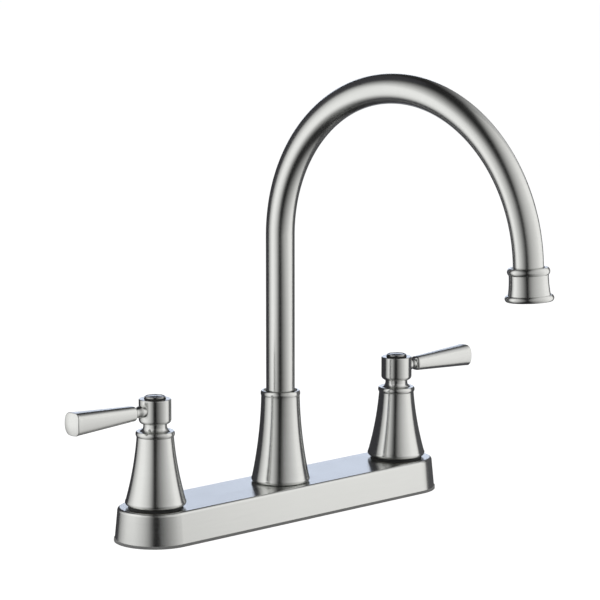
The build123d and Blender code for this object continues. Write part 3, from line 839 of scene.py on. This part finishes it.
@dataclass
class HandleBody:
    """Casting of a handle: the bell, its rim, the neck and the hub, hollow from below.

    Heights are above the casting's foot.
    """

    side: Side
    lip_radius: float = 0.01815
    lip_undercut: float = 0.0019
    lip_height: float = 0.0033
    mouth_land: float = 0.0010
    flank_foot_radius: float = 0.01775
    flank_curve: float = 0.205
    flank_top_radius: float = 0.0110
    flank_top: float = 0.0411
    rim_radius: float = 0.0116
    rim_crown: float = 0.0021
    rim_height: float = 0.0033
    ledge_radius: float = 0.01105
    neck_radius: float = 0.0070
    neck_cove: float = 0.0028
    neck_height: float = 0.0045
    hub_radius: float = 0.0096
    hub_foot_round: float = 0.0024
    hub_top_round: float = 0.0006
    counterbore: float = 0.0052
    screw_bore: float = 0.0026
    screw_web: float = 0.0036
    socket_radius: float = 0.00408
    socket_depth: float = 0.0120
    boss_radius: float = 0.0066
    roof: float = 0.0038
    wall: float = 0.0016
    soft_edge: float = 0.0003

    def outline(self, foot: float, top: float) -> Outline:
        """Draw the casting's section.

        Args:
            foot: Height of its foot.
            top: Height of the hub's top.

        Returns:
            The closed outline, starting inside the foot.
        """
        flank_foot, flank_top = foot + self.lip_height, foot + self.flank_top
        ledge = flank_top + self.rim_height
        hub_foot = ledge + self.neck_height
        socket_top = hub_foot - self.screw_web
        mouth_radius = self.lip_radius - self.lip_undercut
        inner_foot, soft = mouth_radius - self.mouth_land, self.soft_edge
        shell = Outline().line(inner_foot, foot, soft).line(mouth_radius, foot, soft)
        shell.through((self.lip_radius, foot + self.lip_height / 2), (self.flank_foot_radius, flank_foot))
        shell.arc(self.flank_top_radius, flank_top, -self.flank_curve, steps=24)
        shell.through((self.rim_radius, flank_top + self.rim_crown), (self.ledge_radius, ledge), soft)
        shell.line(self.neck_radius + self.neck_cove, ledge)
        shell.arc(self.neck_radius, ledge + self.neck_cove, -self.neck_cove)
        shell.line(self.neck_radius, hub_foot).line(self.hub_radius - self.hub_foot_round, hub_foot)
        shell.arc(self.hub_radius, hub_foot + self.hub_foot_round, self.hub_foot_round)
        shell.line(self.hub_radius, top, self.hub_top_round).line(self.counterbore, top, soft)
        shell.line(self.counterbore, hub_foot).line(self.screw_bore, hub_foot)
        shell.line(self.screw_bore, socket_top).line(self.socket_radius, socket_top)
        shell.line(self.socket_radius, socket_top - self.socket_depth)
        shell.line(self.boss_radius, socket_top - self.socket_depth)
        shell.line(self.boss_radius, ledge - self.roof)
        shell.line(self.flank_top_radius - self.wall, ledge - self.roof)
        return shell.arc(inner_foot, flank_foot, self.flank_curve, steps=24)

    def build(self) -> None:
        """Make the casting and dress it."""
        node = self.side.node("handle_body")
        outline = self.outline(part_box(node)[0].z, self.side.hub_top)
        piece = turn_piece(self.side.node("bell_and_hub"), outline, self.side.place)
        fit_piece(piece, TURNED_NICKEL, self.side.body, node)


@dataclass
class Lever:
    """Lever of a handle: a round neck, a square part that widens outward, and a domed end.

    Places along the lever are distances from the handle's axis.
    """

    side: Side
    drop: float = 0.0066           # its axis, below the top of the hub
    seat: float = 0.0086
    neck_foot_radius: float = 0.0037
    neck_radius: float = 0.0028
    neck_swell: float = 0.0034     # length over which the neck swells towards the hub
    neck_hold: float = 0.0012      # length that it stays slim beside the square part
    start: float = 0.0160
    tip: float = 0.0644
    inner_width: float = 0.0084
    inner_height: float = 0.0086
    inner_corner: float = 0.0018
    outer_width: float = 0.0128
    outer_height: float = 0.0136
    outer_corner: float = 0.0026
    bow: float = 0.0006            # how far each side bows out
    dome: float = 0.0200
    inner_bevel: float = 0.0018
    soft_edge: float = 0.0004
    tip_reach: float = 0.0035      # the last ring before the domed end stands this far from the tip
    dome_shares: tuple[float, ...] = (0.92, 0.78, 0.6, 0.4, 0.2)
    corner_steps: int = 6
    side_steps: int = 7
    neck_steps: int = 14
    bevel_steps: int = 7
    length_steps: int = 20
    edge_steps: int = 4

    def section(self, place: float, inset: float = 0.0) -> list[tuple[float, float]]:
        """Draw the section at a place: a rectangle with bowed sides and rounded corners.

        Args:
            place: Distance from the handle's axis.
            inset: How far the whole outline lies inside its full size.

        Returns:
            Its points across and up, in order round it.
        """
        share = (place - self.start) / (self.tip - self.start)
        wide, high, corner = (
            inner + (outer - inner) * share
            for inner, outer in (
                (self.inner_width / 2, self.outer_width / 2),
                (self.inner_height / 2, self.outer_height / 2),
                (self.inner_corner, self.outer_corner),
            )
        )
        wide, high = wide - inset - self.bow, high - inset - self.bow
        middles = [(wide - corner, high - corner), (corner - wide, high - corner)]
        middles += [(-across, -up) for across, up in middles]
        points: list[tuple[float, float]] = []
        for quarter, (across, up) in enumerate(middles):
            for step in range(self.corner_steps):
                angle = math.pi / 2 * (quarter + step / (self.corner_steps - 1))
                points.append((across + corner * math.cos(angle), up + corner * math.sin(angle)))
            (x0, y0), (across, up) = points[-1], middles[(quarter + 1) % 4]
            x1, y1 = across + corner * math.cos(angle), up + corner * math.sin(angle)
            for along in (step / self.side_steps for step in range(1, self.side_steps)):
                points.append((x0 + (x1 - x0) * along, y0 + (y1 - y0) * along))
        return [
            (
                x + x * self.bow / wide * (1 - (y / high) ** 2),
                y + y * self.bow / high * (1 - (x / wide) ** 2),
            )
            for x, y in points
        ]

    def domed(self, across: float, up: float, back: float = 0.0) -> Vector:
        """Return a point of the domed end, or one that far behind it, from its place in the section."""
        drop = self.dome - math.sqrt(self.dome**2 - across**2 - up**2)
        return Vector((self.tip - drop - back, across, up))

    def rings(self) -> list[list[Vector]]:
        """Draw the lever's rings from the hub outward, about its own axis.

        Returns:
            The rings, each as many points long.
        """
        turns = [math.atan2(up, across) for across, up in self.section(self.start)]
        made: list[list[Vector]] = []
        for step in range(self.neck_steps + 1):
            place = self.seat + (self.start - self.seat) * step / self.neck_steps
            share = min(1.0, max(0.0, (self.start - self.neck_hold - place) / self.neck_swell))
            swell = share**2 * (3 - 2 * share)
            radius = self.neck_radius + (self.neck_foot_radius - self.neck_radius) * swell
            ring = [(radius * math.cos(turn), radius * math.sin(turn)) for turn in turns]
            made.append([Vector((place, y, z)) for y, z in ring])
        square = []
        for step in range(self.bevel_steps + 1):
            angle = math.pi / 2 * step / self.bevel_steps
            place = self.start + self.inner_bevel * (1 - math.cos(angle))
            square.append((place, self.inner_bevel * (1 - math.sin(angle))))
        flank_start, flank_end = self.start + self.inner_bevel, self.tip - self.tip_reach
        for step in range(1, self.length_steps + 1):
            square.append((flank_start + (flank_end - flank_start) * step / self.length_steps, 0.0))
        made += [[Vector((place, y, z)) for y, z in self.section(place, inset)] for place, inset in square]
        for step in range(self.edge_steps + 1):
            angle = math.pi / 2 * step / self.edge_steps
            edge = self.section(self.tip, self.soft_edge * (1 - math.cos(angle)))
            made.append([self.domed(y, z, self.soft_edge * (1 - math.sin(angle))) for y, z in edge])
        made += [[self.domed(y * share, z * share) for y, z in edge] for share in self.dome_shares]
        return made

    def build(self) -> None:
        """Make the lever and dress it."""
        level = Matrix.Translation((0.0, 0.0, self.side.hub_top - self.drop))
        rings = [[Vector((self.seat, 0.0, 0.0))], *self.rings(), [Vector((self.tip, 0.0, 0.0))]]
        rings = [[level @ point for point in ring] for ring in rings]
        piece = skin_piece(self.side.node("lever_arm"), rings, self.side.place)
        fit_piece(piece, LEVER_NICKEL, self.side.body, self.side.node("lever"))


@dataclass
class Button:
    """Bright button on the hub with its plug, and the rubber ring under it."""

    side: Side
    radius: float = 0.0061
    height: float = 0.0011
    soft_edge: float = 0.0004
    groove_radius: float = 0.0047
    groove_width: float = 0.0005
    groove_depth: float = 0.00035
    groove_edge: float = 0.0001
    crown: float = 0.0004          # rise of the middle above the groove's edge
    plug_radius: float = 0.00512
    plug_length: float = 0.0032
    plug_edge: float = 0.0003
    ring_radius: float = 0.00645
    ring_height: float = 0.0006
    ring_gap: float = 0.00005
    foot_edge: float = 0.0002
    segments: int = 72

    def build(self) -> None:
        """Make the button and the ring and dress them."""
        hub_top = self.side.hub_top
        foot, plug_foot = hub_top + self.ring_height, hub_top - self.plug_length
        top = foot + self.height
        cap = Outline().line(0.0, plug_foot).line(self.plug_radius, plug_foot, self.plug_edge)
        cap.line(self.plug_radius, foot).line(self.radius, foot, self.foot_edge)
        cap.line(self.radius, top, self.soft_edge)
        cap.line(self.groove_radius + self.groove_width, top, self.groove_edge)
        cap.line(self.groove_radius + self.groove_width / 2, top - self.groove_depth)
        cap.line(self.groove_radius, top - self.crown / 2, self.groove_edge)
        cap.through((self.groove_radius / 2, top + self.crown / 4), (0.0, top + self.crown / 2))
        seal = Outline().line(self.plug_radius + self.ring_gap, hub_top)
        seal.line(self.ring_radius, hub_top, self.foot_edge).line(self.ring_radius, foot, self.plug_edge)
        seal.line(self.plug_radius + self.ring_gap, foot)
        for name, outline, finish, node in (
            ("button_cap", cap, BUTTON_FINISH, "index_button"),
            ("button_seal", seal, BLACK_RUBBER, "button_ring"),
        ):
            piece = turn_piece(self.side.node(name), outline, self.side.place, self.segments)
            fit_piece(piece, finish, self.side.body, self.side.node(node))


@dataclass
class SpoutBell:
    """Bell at the foot of the spout, with its rim and the recess round the tube."""

    lip_radius: float = 0.01795
    lip_undercut: float = 0.0013
    lip_height: float = 0.0030
    flank_foot_radius: float = 0.0176
    flank_curve: float = 0.275
    flank_top_radius: float = 0.0118
    flank_top: float = 0.0533
    rim_radius: float = 0.0121
    rim_crown: float = 0.00175
    rim_top_radius: float = 0.0115
    recess_radius: float = 0.01025
    recess_depth: float = 0.0016
    bore: float = 0.0091
    land: float = 0.0040
    bushing_radius: float = 0.0103
    bushing_height: float = 0.0080
    wall: float = 0.0016
    foot_edge: float = 0.0002
    inner_edge: float = 0.0003
    rim_edge: float = 0.0004

    def build(self) -> None:
        """Make the bell and dress it."""
        foot, top = (corner.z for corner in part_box("spout_bell"))
        flank_foot, flank_top = foot + self.lip_height, foot + self.flank_top
        inner_foot, seat = self.flank_foot_radius - self.wall, top - self.land
        shell = Outline().line(inner_foot, foot, self.inner_edge)
        shell.line(self.lip_radius - self.lip_undercut, foot, self.foot_edge)
        shell.through((self.lip_radius, foot + self.lip_height / 2), (self.flank_foot_radius, flank_foot))
        shell.arc(self.flank_top_radius, flank_top, -self.flank_curve, steps=26)
        rim = (self.rim_radius, flank_top + self.rim_crown)
        shell.through(rim, (self.rim_top_radius, top), self.rim_edge)
        shell.line(self.recess_radius, top, self.inner_edge)
        shell.line(self.recess_radius, top - self.recess_depth).line(self.bore, top - self.recess_depth)
        shell.line(self.bore, seat).line(self.bushing_radius, seat)
        shell.line(self.bushing_radius, seat - self.bushing_height)
        shell.arc(inner_foot, flank_foot, self.flank_curve, steps=26)
        fit_piece(turn_piece("spout_base_bell", shell), TURNED_NICKEL, "root", "spout_bell")


@dataclass
class Gooseneck:
    """Tube of the spout: a straight riser, a rising and a falling bend, and a short drop."""

    radius: float = 0.00875
    wall: float = 0.0010
    bend_start: float = 0.1721
    rising_radius: float = 0.0941
    rising_angle: float = 75.6     # degrees
    falling_radius: float = 0.0970
    falling_angle: float = 101.2
    entry: float = 0.0032          # from the end of the bend to the outlet
    sunk: float = 0.0100           # length inside the outlet
    swing: float = 3.0             # degrees towards +X at rest
    ring_steps: int = 64
    bend_step: float = 1.5         # degrees
    riser_step: float = 0.008

    @property
    def forward(self) -> Vector:
        """Level unit vector in the plane of the spout, away from the riser."""
        swing = math.radians(self.swing)
        return Vector((math.sin(swing), -math.cos(swing), 0.0))

    def way(self, heading: float) -> Vector:
        """Return the unit vector in the plane of the spout that rises at an angle in radians."""
        return self.forward * math.cos(heading) + Vector((0.0, 0.0, math.sin(heading)))

    def stations(self) -> list[tuple[Vector, Vector, float]]:
        """Walk along the tube's middle line.

        Returns:
            Point, direction and length so far of each ring, from the foot to the outlet.
        """
        foot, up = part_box("spout_tube")[0].z, math.pi / 2
        riser = self.bend_start - foot
        rows = round(riser / self.riser_step)
        lengths = [riser * row / rows for row in range(rows + 1)]
        walk = [(Vector((0.0, 0.0, foot + length)), self.way(up), length) for length in lengths]
        point, heading, length = walk[-1][0], up, riser
        bends = ((self.rising_radius, self.rising_angle), (self.falling_radius, self.falling_angle))
        for radius, angle in bends:
            steps = round(angle / self.bend_step)
            turn = math.radians(angle) / steps
            for _ in range(steps):
                point = point + self.way(heading - turn / 2) * 2 * radius * math.sin(turn / 2)
                heading -= turn
                length += radius * turn
                walk.append((point, self.way(heading), length))
        way, runs = self.way(heading), (self.entry, self.entry + self.sunk)
        return walk + [(point + way * run, way, length + run) for run in runs]

    @property
    def outlet_place(self) -> Matrix:
        """The outlet's own frame: its top at the origin and Z back up the tube."""
        point, way, _ = self.stations()[-2]
        side = way.cross(self.forward).normalized()
        return Matrix.Translation(point) @ Matrix((side, (-way).cross(side), -way)).transposed().to_4x4()

    def ring(self, point: Vector, way: Vector, radius: float) -> list[Vector]:
        """Draw one ring of the tube.

        Args:
            point: Its middle.
            way: The tube's direction there.
            radius: Its radius.

        Returns:
            Its points.
        """
        side = Vector((0.0, 0.0, 1.0)).cross(self.forward)
        across = way.cross(side)
        turns = [2 * math.pi * step / self.ring_steps for step in range(self.ring_steps)]
        return [point + (side * math.cos(turn) + across * math.sin(turn)) * radius for turn in turns]

    def build(self) -> None:
        """Make the tube, store its length on it and dress it."""
        walk = self.stations()
        rings = [self.ring(point, way, self.radius) for point, way, _ in walk]
        rings += [self.ring(point, way, self.radius - self.wall) for point, way, _ in reversed(walk)]
        lengths = [length for _, _, length in walk + walk[::-1] for _ in range(self.ring_steps)]
        piece = skin_piece("gooseneck_tube", rings, loop=True)
        piece.data.attributes.new(PATH_NAME, "FLOAT", "POINT").data.foreach_set("value", lengths)
        fit_piece(piece, TUBE_NICKEL, "spout", "spout_tube")


@dataclass
class Outlet:
    """Housing at the end of the spout: a bead, a slightly hollow side and a rounded lip.

    Depths are below the housing's top.
    """

    place: Matrix
    bead_edge: float = 0.0111
    bead_radius: float = 0.0122
    bead_height: float = 0.0042
    body_radius: float = 0.0113
    body_low_radius: float = 0.01215
    body_curve: float = 0.060
    lip_top: float = 0.0155
    lip_edge: float = 0.0130
    lip_radius: float = 0.0140
    depth: float = 0.0191
    cavity_radius: float = 0.0109
    cavity_top: float = 0.0100
    tube_bore: float = 0.0088
    recess_radius: float = 0.00945
    recess_depth: float = 0.0008
    bead_ease: float = 0.0003
    lip_ease: float = 0.0004
    foot_ease: float = 0.0005

    def build(self) -> None:
        """Make the housing and dress it."""
        shell = Outline().line(self.recess_radius, 0.0, self.bead_ease)
        shell.line(self.recess_radius, -self.recess_depth).line(self.tube_bore, -self.recess_depth)
        shell.line(self.tube_bore, -self.cavity_top).line(self.cavity_radius, -self.cavity_top)
        shell.line(self.cavity_radius, -self.depth, self.lip_ease)
        shell.line(self.lip_edge, -self.depth, self.foot_ease)
        lip = (self.lip_radius, -(self.lip_top + self.depth) / 2)
        shell.through(lip, (self.lip_edge, -self.lip_top), self.lip_ease)
        shell.line(self.body_low_radius, -self.lip_top)
        shell.arc(self.body_radius, -self.bead_height, -self.body_curve)
        shell.through((self.bead_radius, -self.bead_height / 2), (self.bead_edge, 0.0), self.bead_ease)
        piece = turn_piece("outlet_shell", shell, self.place)
        fit_piece(piece, TURNED_NICKEL, "spout", "outlet_housing")


# ---------------------------------------------------------------- studio
FLAG_FOOT, FLAG_TOP = -1.6, 2.64
LOW_TOP = 0.07                 # where the low screen on the right ends and the high one starts
SOFT_WHITE: Colour = (1.0, 0.995, 0.98)


@dataclass(frozen=True)
class Stand:
    """One upright of a screen.

    Attributes:
        angle: Degrees from the camera's side, above 0 to the right of the picture.
        reach: Its distance from the faucet.
        foot: Height of the screen's lower edge there.
        top: Height of its upper edge there.
    """

    angle: float
    reach: float
    foot: float = FLAG_FOOT
    top: float = FLAG_TOP

    def corners(self, camera_angle: float) -> list[Vector]:
        """Find the screen's corners at this stand.

        Args:
            camera_angle: The camera's own angle from +X, in degrees.

        Returns:
            The lower and the upper corner.
        """
        angle = math.radians(camera_angle + self.angle)
        x, y = self.reach * math.cos(angle), self.reach * math.sin(angle)
        return [Vector((x, y, height)) for height in (self.foot, self.top)]


@dataclass(frozen=True)
class Screen:
    """An upright sheet beside the faucet: a lit diffuser or a dark flag.

    Attributes:
        name: The object's name.
        stands: Its stands, from the edge with less light to the other.
        light: How bright it shines at its best.
        colour: The colour of its light.
        first: Share of that light at its first edge.
        rise: Share of its width over which it comes up to full light, or 0 for an even flag.
        bend: Power of that rise: 1 for a steady one.
        fall: Share of its width over which it fades at the last edge, or 0.
        last: Share of its light at that edge.
        full: Lowest and highest place with full light.
        halving: Height over which its light halves, below and above those.
    """

    name: str
    stands: tuple[Stand, ...]
    light: float
    colour: Colour = (1.0, 1.0, 1.0)
    first: float = 0.0
    rise: float = 0.0
    bend: float = 1.4
    fall: float = 0.0
    last: float = 0.3
    full: tuple[float, float] = (0.0, 0.42)
    halving: tuple[float, float] = (0.52, 0.85)

    def strength(self, bench: NodeBench) -> Term:
        """Shade a diffuser off towards its edges; a flag is even.

        Args:
            bench: Where the nodes go.

        Returns:
            How bright the sheet shines at each point.
        """
        if not self.rise:
            return self.light
        across, height = bench.stored("across"), bench.parts(bench.place())[2]
        rise = bench.ramp(across, 0.0, self.rise, 0.0, 1.0) ** self.bend
        share = self.first + (1.0 - self.first) * rise
        if self.fall:
            share = share * bench.ramp(across, 1.0 - self.fall, 1.0, 1.0, self.last)
        below = (self.full[0] - height).at_least(0.0) * (1.0 / self.halving[0])
        above = (height - self.full[1]).at_least(0.0) * (1.0 / self.halving[1])
        return share * 0.5 ** (below + above) * self.light


@dataclass
class Studio:
    """The camera, the pale floor, the white world, and the screens and flags round the faucet."""

    turn: float = 43.96            # degrees, camera to the left of the faucet's front
    tilt: float = 9.03             # degrees, camera above the deck
    distance: float = 1.8
    slide_right: float = 0.011955
    slide_up: float = 0.130627
    focal: float = 175.63          # millimetres
    sensor: float = 36.0           # millimetres
    far_clip: float = 100.0
    floor_reach: float = 30.0
    floor_grey: Colour = (0.40, 0.40, 0.40)
    floor_glow: float = 0.83       # what the camera sees of the floor's own light
    backdrop: Colour = (0.92, 1.01, 1.20)
    ambient: float = 0.45
    lamp_place: Point = (-0.25, -0.3, 1.5)
    lamp_size: float = 1.4
    lamp_power: float = 9.0
    screens: tuple[Screen, ...] = (
        Screen(
            "left_diffuser", (Stand(-8, 1.0, -0.95, 1.40), Stand(-102, 0.268, -0.95, 1.40)), 1.16,
            (1.0, 1.0, 0.99), first=0.08, rise=0.79, bend=2.1, fall=0.14, full=(0.05, 0.34),
            halving=(0.173, 0.187),
        ),
        Screen(
            "right_low_diffuser",
            (Stand(8, 1.0, top=LOW_TOP), Stand(97, 0.63, top=LOW_TOP), Stand(112, 0.405, top=LOW_TOP)),
            1.10, SOFT_WHITE, first=0.10, rise=0.72, bend=1.7, fall=0.05,
        ),
        Screen(
            "right_high_diffuser",
            (Stand(-1, 1.0, LOW_TOP, 2.6), Stand(97, 0.63, LOW_TOP, 2.6), Stand(112, 0.405, LOW_TOP, 2.6)),
            1.12, SOFT_WHITE, first=0.05, rise=0.70, bend=1.35, fall=0.05,
        ),
        Screen(
            "rear_diffuser", (Stand(170, 0.62, 0.42, 2.2), Stand(100, 0.62, 0.24, 2.2)), 0.92,
            first=0.02, rise=0.74, full=(0.0, 0.45), halving=(1.0, 0.48),
        ),
        Screen("left_flag", (Stand(-80, 1.2), Stand(-166, 1.2)), 0.055, (0.9, 0.9, 1.0)),
        Screen("right_flag", (Stand(85, 1.3), Stand(168, 1.3)), 0.10, (0.95, 0.95, 1.0)),
        Screen(
            "rear_low_flag", (Stand(145, 3.4, -2.4, 0.10), Stand(215, 3.4, -2.4, 0.10)), 0.36,
            (0.9, 0.93, 1.0),
        ),
        Screen("rear_high_flag", (Stand(145, 3.4, 0.92), Stand(215, 3.4, 0.92)), 0.03),
        Screen("camera_flag", (Stand(-14, 2.2), Stand(14, 2.2)), 0.01),
    )
    flag_gap: float = 0.01         # between the upright flags and those above and below them
    ceiling_reach: float = 2.7
    ceiling_light: float = 0.02
    ground_reach: float = 2.3
    ground_light: float = 0.03

    @property
    def camera_angle(self) -> float:
        """The camera's angle from +X, in degrees; the faucet's front is at 270."""
        return 270.0 - self.turn

    @property
    def back(self) -> Vector:
        """Unit vector from the faucet to the camera."""
        a, e = math.radians(self.turn), math.radians(self.tilt)
        return Vector((-math.sin(a) * math.cos(e), -math.cos(a) * math.cos(e), math.sin(e)))

    def set_camera(self) -> None:
        """Put the camera where the photographer's stood."""
        right = Vector((0.0, 0.0, 1.0)).cross(self.back).normalized()
        up = self.back.cross(right)
        camera = bpy.data.objects.new("camera", bpy.data.cameras.new("camera"))
        bpy.context.scene.collection.objects.link(camera)
        stand = self.back * self.distance + right * self.slide_right + up * self.slide_up
        turned = Matrix((right, up, self.back)).transposed().to_4x4()
        camera.matrix_world = Matrix.Translation(stand) @ turned
        camera.data.lens = self.focal
        camera.data.sensor_width = self.sensor
        camera.data.clip_end = self.far_clip
        bpy.context.scene.camera = camera

    def light_world(self) -> None:
        """White to the camera, cool white in metal, and an even grey as ambient light."""
        world = bpy.data.worlds.new("white_backdrop")
        bpy.context.scene.world = world
        bench = NodeBench(world)
        rays = bench.add("ShaderNodeLightPath").outputs
        mirrored = Value(bench, rays["Is Glossy Ray"]) + rays["Is Transmission Ray"]
        seen = bench.mixed(mirrored, (self.ambient,) * 3, self.backdrop)
        seen = bench.mixed(Value(bench, rays["Is Camera Ray"]), seen, (1.0, 1.0, 1.0))
        sky = bench.add("ShaderNodeBackground", None, {"Color": seen})
        bench.add("ShaderNodeOutputWorld", None, {"Surface": sky.outputs[0]})

    @staticmethod
    def sheet(name: str, corners: Sequence[Vector]) -> tuple[bpy.types.Object, NodeBench]:
        """Hang a sheet in the studio.

        Args:
            name: Its name.
            corners: Pairs of a lower and an upper corner, one pair for each stand.

        Returns:
            The sheet, and the bench of its new paint.
        """
        faces = [(row, row + 2, row + 3, row + 1) for row in range(0, len(corners) - 2, 2)]
        sheet = build_piece(name, corners, faces)
        paint = bpy.data.materials.new(name)
        sheet.data.materials.append(paint)
        return sheet, NodeBench(paint)

    @staticmethod
    def square(reach: float, height: float) -> list[Vector]:
        """Return the corners of a level square sheet from half its width and its height."""
        return [Vector((x, y, height)) for x in (-reach, reach) for y in (-reach, reach)]

    def lay_floor(self) -> None:
        """A wide white floor that keeps the faucet's soft shadow."""
        floor, bench = self.sheet("floor", self.square(self.floor_reach, 0.0))
        seen = bench.value("ShaderNodeLightPath", output="Is Camera Ray")
        matt = bench.add("ShaderNodeBsdfDiffuse", None, {"Color": (*self.floor_grey, 1.0)})
        glow = bench.add("ShaderNodeEmission", None, {"Strength": seen * self.floor_glow})
        bench.show(bench.add("ShaderNodeAddShader", None, {0: matt.outputs[0], 1: glow.outputs[0]}))
        floor.visible_glossy = False

    def hang(self, screen: Screen, corners: Sequence[Vector]) -> bpy.types.Object:
        """Hang a screen that the camera doesn't see, but the metal does.

        Args:
            screen: What it is.
            corners: Its corners.

        Returns:
            The sheet.
        """
        sheet, bench = self.sheet(screen.name, corners)
        light = {"Color": (*screen.colour, 1.0), "Strength": screen.strength(bench)}
        bench.show(bench.add("ShaderNodeEmission", None, light))
        sheet.visible_camera = False
        sheet.visible_shadow = False
        sheet.visible_diffuse = bool(screen.rise)
        return sheet

    def raise_screen(self, screen: Screen) -> None:
        """Stand a diffuser or a flag beside the faucet, with its share of the width stored on it.

        Args:
            screen: What to stand there.
        """
        pairs = [stand.corners(self.camera_angle) for stand in screen.stands]
        reaches = [0.0]
        for one, other in zip(pairs, pairs[1:]):
            reaches.append(reaches[-1] + (other[0].xy - one[0].xy).length)
        sheet = self.hang(screen, [corner for pair in pairs for corner in pair])
        across = sheet.data.attributes.new("across", "FLOAT", "POINT")
        across.data.foreach_set("value", [reach / reaches[-1] for reach in reaches for _ in range(2)])

    def hang_top_light(self) -> None:
        """A broad lamp overhead, which lights the matt pieces and the floor."""
        lamp = bpy.data.objects.new("top_light", bpy.data.lights.new("top_light", "AREA"))
        bpy.context.scene.collection.objects.link(lamp)
        lamp.data.shape = "SQUARE"
        lamp.data.size = self.lamp_size
        lamp.data.energy = self.lamp_power
        lamp.location = self.lamp_place
        lamp.rotation_euler = Vector(self.lamp_place).to_track_quat("Z", "Y").to_euler()
        lamp.visible_glossy = False
        lamp.visible_camera = False

    def build(self) -> None:
        """Set up everything round the faucet."""
        self.set_camera()
        self.light_world()
        self.lay_floor()
        for screen in self.screens:
            self.raise_screen(screen)
        ceiling = self.square(self.ceiling_reach, FLAG_TOP + self.flag_gap)
        self.hang(Screen("ceiling_flag", (), self.ceiling_light), ceiling)
        ground = self.square(self.ground_reach, FLAG_FOOT - self.flag_gap)
        self.hang(Screen("ground_flag", (), self.ground_light), ground)
        self.hang_top_light()
        bpy.context.scene.view_settings.view_transform = "Standard"


# ---------------------------------------------------------------- the carried-over CAD nodes
def carried_finishes() -> dict[str, Finish]:
    """Gather the finishes that don't depend on a piece's place.

    Returns:
        The finishes, by the record's slot.
    """
    finishes = (
        PLATE_NICKEL,
        MachinedMetal("zinc_plate", "zinc_steel", (0.60, 0.61, 0.63), 0.32, 1.0, stain=(0.46, 0.44, 0.38)),
        MachinedMetal("copper_tube", "copper", COPPER, 0.30, 1.0, Grain.LENGTH, stain=(0.33, 0.14, 0.08)),
        BLACK_RUBBER,
        moulded("black_plastic", (0.022, 0.022, 0.024), 0.48, (0.05, 0.05, 0.052)),
        moulded("grey_plastic", (0.30, 0.31, 0.32), 0.42, (0.36, 0.37, 0.38)),
        moulded("white_nylon", (0.78, 0.77, 0.72), 0.40, (0.84, 0.83, 0.80)),
        moulded("red_fibre", (0.40, 0.09, 0.06), 0.72, (0.52, 0.16, 0.10), texture=1500.0, depth=3.0e-5),
        moulded("white_ceramic", (0.84, 0.83, 0.79), 0.16, (0.80, 0.79, 0.74), depth=2.0e-6),
        moulded("grey_gasket", (0.24, 0.24, 0.24), 0.75, (0.30, 0.30, 0.29)),
    )
    return {finish.slot: finish for finish in finishes}


def finish_for(node: str, slot: str, shared: Mapping[str, Finish]) -> Finish:
    """Choose the finish of a carried-over CAD node.

    Args:
        node: The node's name.
        slot: Its slot in the record.
        shared: The finishes that don't depend on a piece's place, by slot.

    Returns:
        Its finish. Brass is turned about each node's own axis.
    """
    if slot != "brass":
        return shared[slot]
    stain = (0.36, 0.22, 0.09)
    return MachinedMetal(f"brass_{node}", slot, BRASS, 0.28, 1.0, Grain.ROUND, axis_of(node), stain=stain)


def dress_carried_nodes() -> None:
    """Give every CAD node that still shows its finish."""
    shared = carried_finishes()
    for part in frame["record"]["subparts"]:
        piece = frame["nodes"][part["node"]]
        if piece.hide_render:
            continue
        finish = finish_for(part["node"], part["material_slot"], shared)
        for worn in piece.material_slots:
            worn.material = finish.material()
        if not piece.material_slots:
            piece.data.materials.append(finish.material())
        LOG.info("%s wears %s", part["node"], finish.name)


def main() -> None:
    """Build the studio, then the faucet's pieces in order, and report each one."""
    logging.basicConfig(level=logging.INFO, format="%(name)s: %(message)s")
    Studio().build()
    for side in Side:
        for part in (HandleBody(side), Lever(side), Button(side)):
            part.build()
    SpoutBell().build()
    neck = Gooseneck()
    neck.build()
    Outlet(neck.outlet_place).build()
    dress_carried_nodes()


if __name__ == "__main__":
    main()
